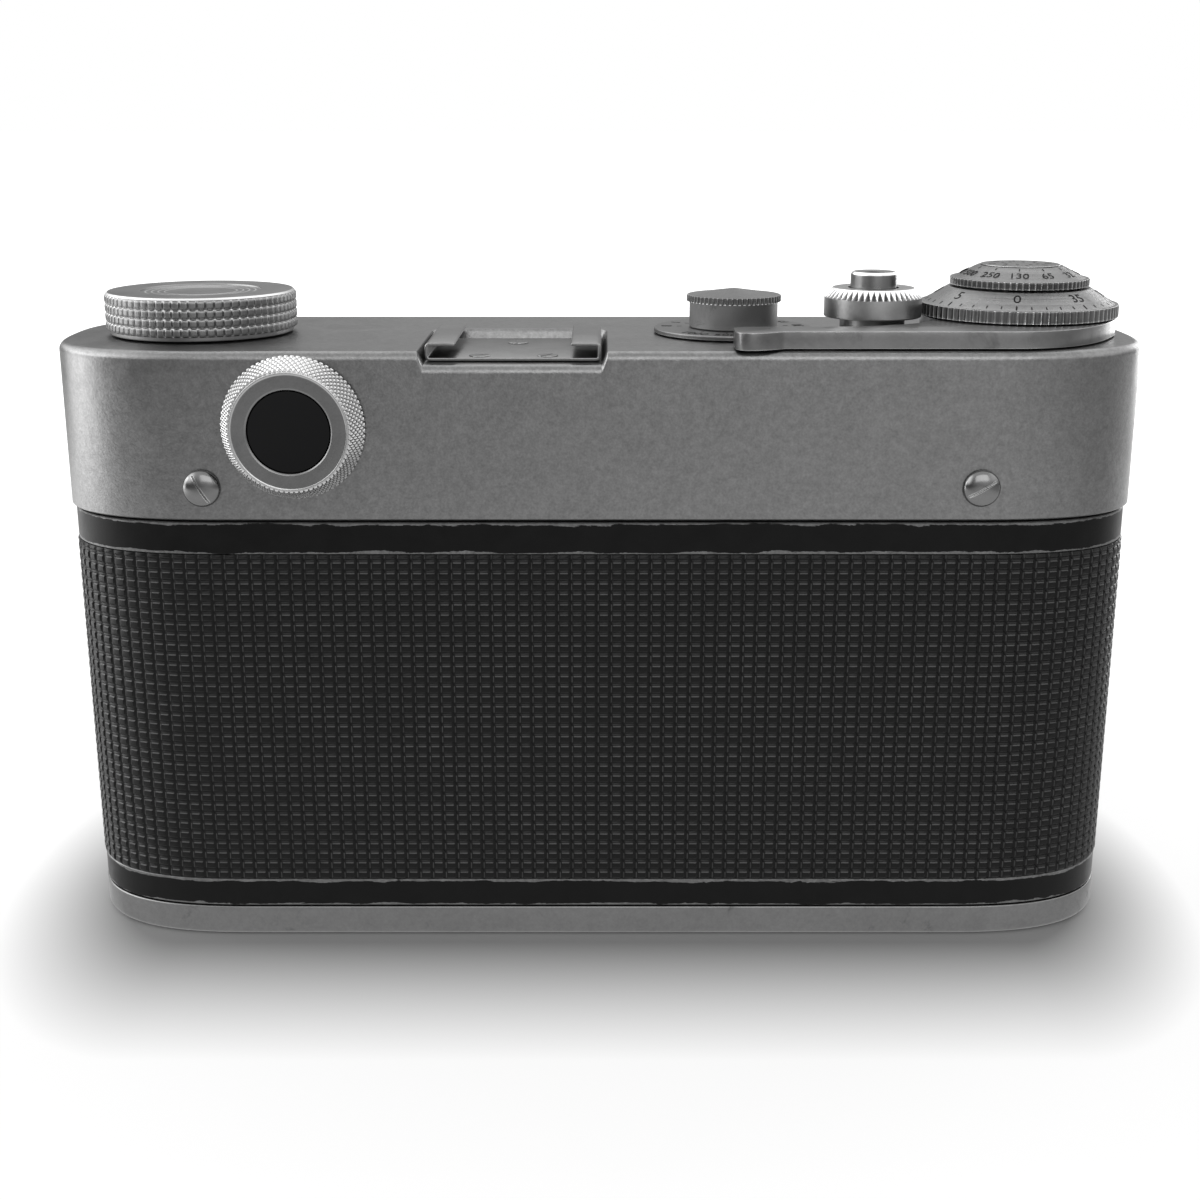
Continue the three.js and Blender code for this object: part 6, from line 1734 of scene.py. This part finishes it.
def makeFloor():
    # matt paint plus a glow: one for the camera's rays and one for those that metal mirrors, none for matt
    # surfaces
    k = floorLook
    points = [(i * k["size"], j * k["size"], -k["drop"]) for i, j in ((-1, -1), (1, -1), (1, 1), (-1, 1))]
    data = bpy.data.meshes.new("floor")
    data.from_pydata(points, [], [(0, 1, 2, 3)])
    floor = bpy.data.objects.new("floor", data)
    scene.collection.objects.link(floor)
    material, tree, shader, place = newMaterial("paleFloor")
    tree.nodes.remove(shader)
    seen, glossy = rayKinds(tree)
    x, y, _ = node(tree, "ShaderNodeSeparateXYZ", {0: place}).outputs
    mirrored = calc(tree, "MULTIPLY", mirroredLift(tree, x, y), glossy)
    lift = mixValue(tree, seen, mirrored, shadowLift(tree, x, y))
    matt = node(tree, "ShaderNodeBsdfDiffuse", {"Color": grey(k["paint"])}).outputs[0]
    glow = node(tree, "ShaderNodeEmission", {"Color": grey(1.0), "Strength": lift}).outputs[0]
    both = node(tree, "ShaderNodeAddShader", {0: matt, 1: glow}).outputs[0]
    feed(tree, tree.nodes["Material Output"], {"Surface": both})
    data.materials.append(material)


def makeWorld():
    # white for the camera and an even sky for matt surfaces. Metal sees a ring that is dimmer behind the
    # viewer's left, at the far right of the near side, far on the left and at the horizon, a bright zenith, and
    # a high patch each side
    k = skyLook
    world = bpy.data.worlds.new("studio")
    scene.world = world
    world.use_nodes = True
    tree = world.node_tree
    seen, glossy = rayKinds(tree)
    direction = node(tree, "ShaderNodeTexCoord").outputs["Generated"]
    x, y, z = node(tree, "ShaderNodeSeparateXYZ", {0: direction}).outputs
    near = calc(tree, "MULTIPLY", ramp(tree, x, *k["nearAcross"]), ramp(tree, x, *k["nearRight"]))
    far = calc(tree, "MULTIPLY", ramp(tree, x, *k["farLeft"]), k["farLevel"])
    around = mixValue(tree, ramp(tree, y, *k["nearToFar"]), near, far)
    around = calc(tree, "MULTIPLY", around, ramp(tree, z, *k["horizon"]))
    shown = mixValue(tree, ramp(tree, z, *k["zenithBand"]), around, k["zenith"])
    sides = calc(tree, "ADD", ramp(tree, x, *k["highLeft"]), ramp(tree, x, *k["highRight"]))
    sides = calc(tree, "MULTIPLY", sides, ramp(tree, z, *k["highTop"]))
    shown = calc(tree, "MULTIPLY_ADD", sides, ramp(tree, z, *k["highFoot"]), shown)
    strength = mixValue(tree, seen, mixValue(tree, glossy, k["matt"], shown), 1.0)
    feed(tree, tree.nodes["Background"], {"Color": grey(1.0), "Strength": strength})


lamps = {
    "leftBox": {"place": (-0.335, 0.0, 0.11), "aim": 0.06, "size": (0.24, 0.2), "radiance": 2.4},
    "rightBox": {"place": (0.3, 0.3, 0.12), "aim": 0.06, "size": (0.14, 0.22), "radiance": 3.2},
    "backBox": {"place": (0.14, -0.75, 0.5), "aim": 0.06, "size": (0.7, 0.5), "radiance": 1.5},
    "overhead": {"place": (0.0, 0.45, 0.8), "aim": 0.05, "size": (1.2, 0.8), "radiance": 0.7},
}


def makeLamp(name, place, aim, size, radiance):
    # power = radiance times pi times the area; the lamp faces a point on the object's middle line
    data = bpy.data.lights.new(name, "AREA")
    data.shape, data.size, data.size_y = "RECTANGLE", *size
    data.energy = radiance * math.pi * size[0] * size[1]
    lamp = bpy.data.objects.new(name, data)
    scene.collection.objects.link(lamp)
    lamp.location = place
    lamp.rotation_euler = (Vector((0, 0, aim)) - Vector(place)).to_track_quat("-Z", "Y").to_euler()
    lamp.visible_camera = False


viewpoint = {"place": (0.0, -0.2226, 0.1049), "down": 16.05, "lens": 51.0, "sensor": 36.0, "nearest": 0.005}


def makeCamera():
    # the lens length over the sensor's width gives the angle of view
    data = bpy.data.cameras.new("viewpoint")
    data.lens, data.sensor_width, data.clip_start = (viewpoint[k] for k in ("lens", "sensor", "nearest"))
    viewer = bpy.data.objects.new("viewpoint", data)
    scene.collection.objects.link(viewer)
    viewer.location = viewpoint["place"]
    viewer.rotation_euler = (math.radians(90 - viewpoint["down"]), 0, 0)
    scene.camera = viewer
    scene.view_settings.view_transform = "Standard"


makeFloor()
makeWorld()
for name, values in lamps.items():
    makeLamp(name, **values)
makeCamera()
print("floor, light and camera set")
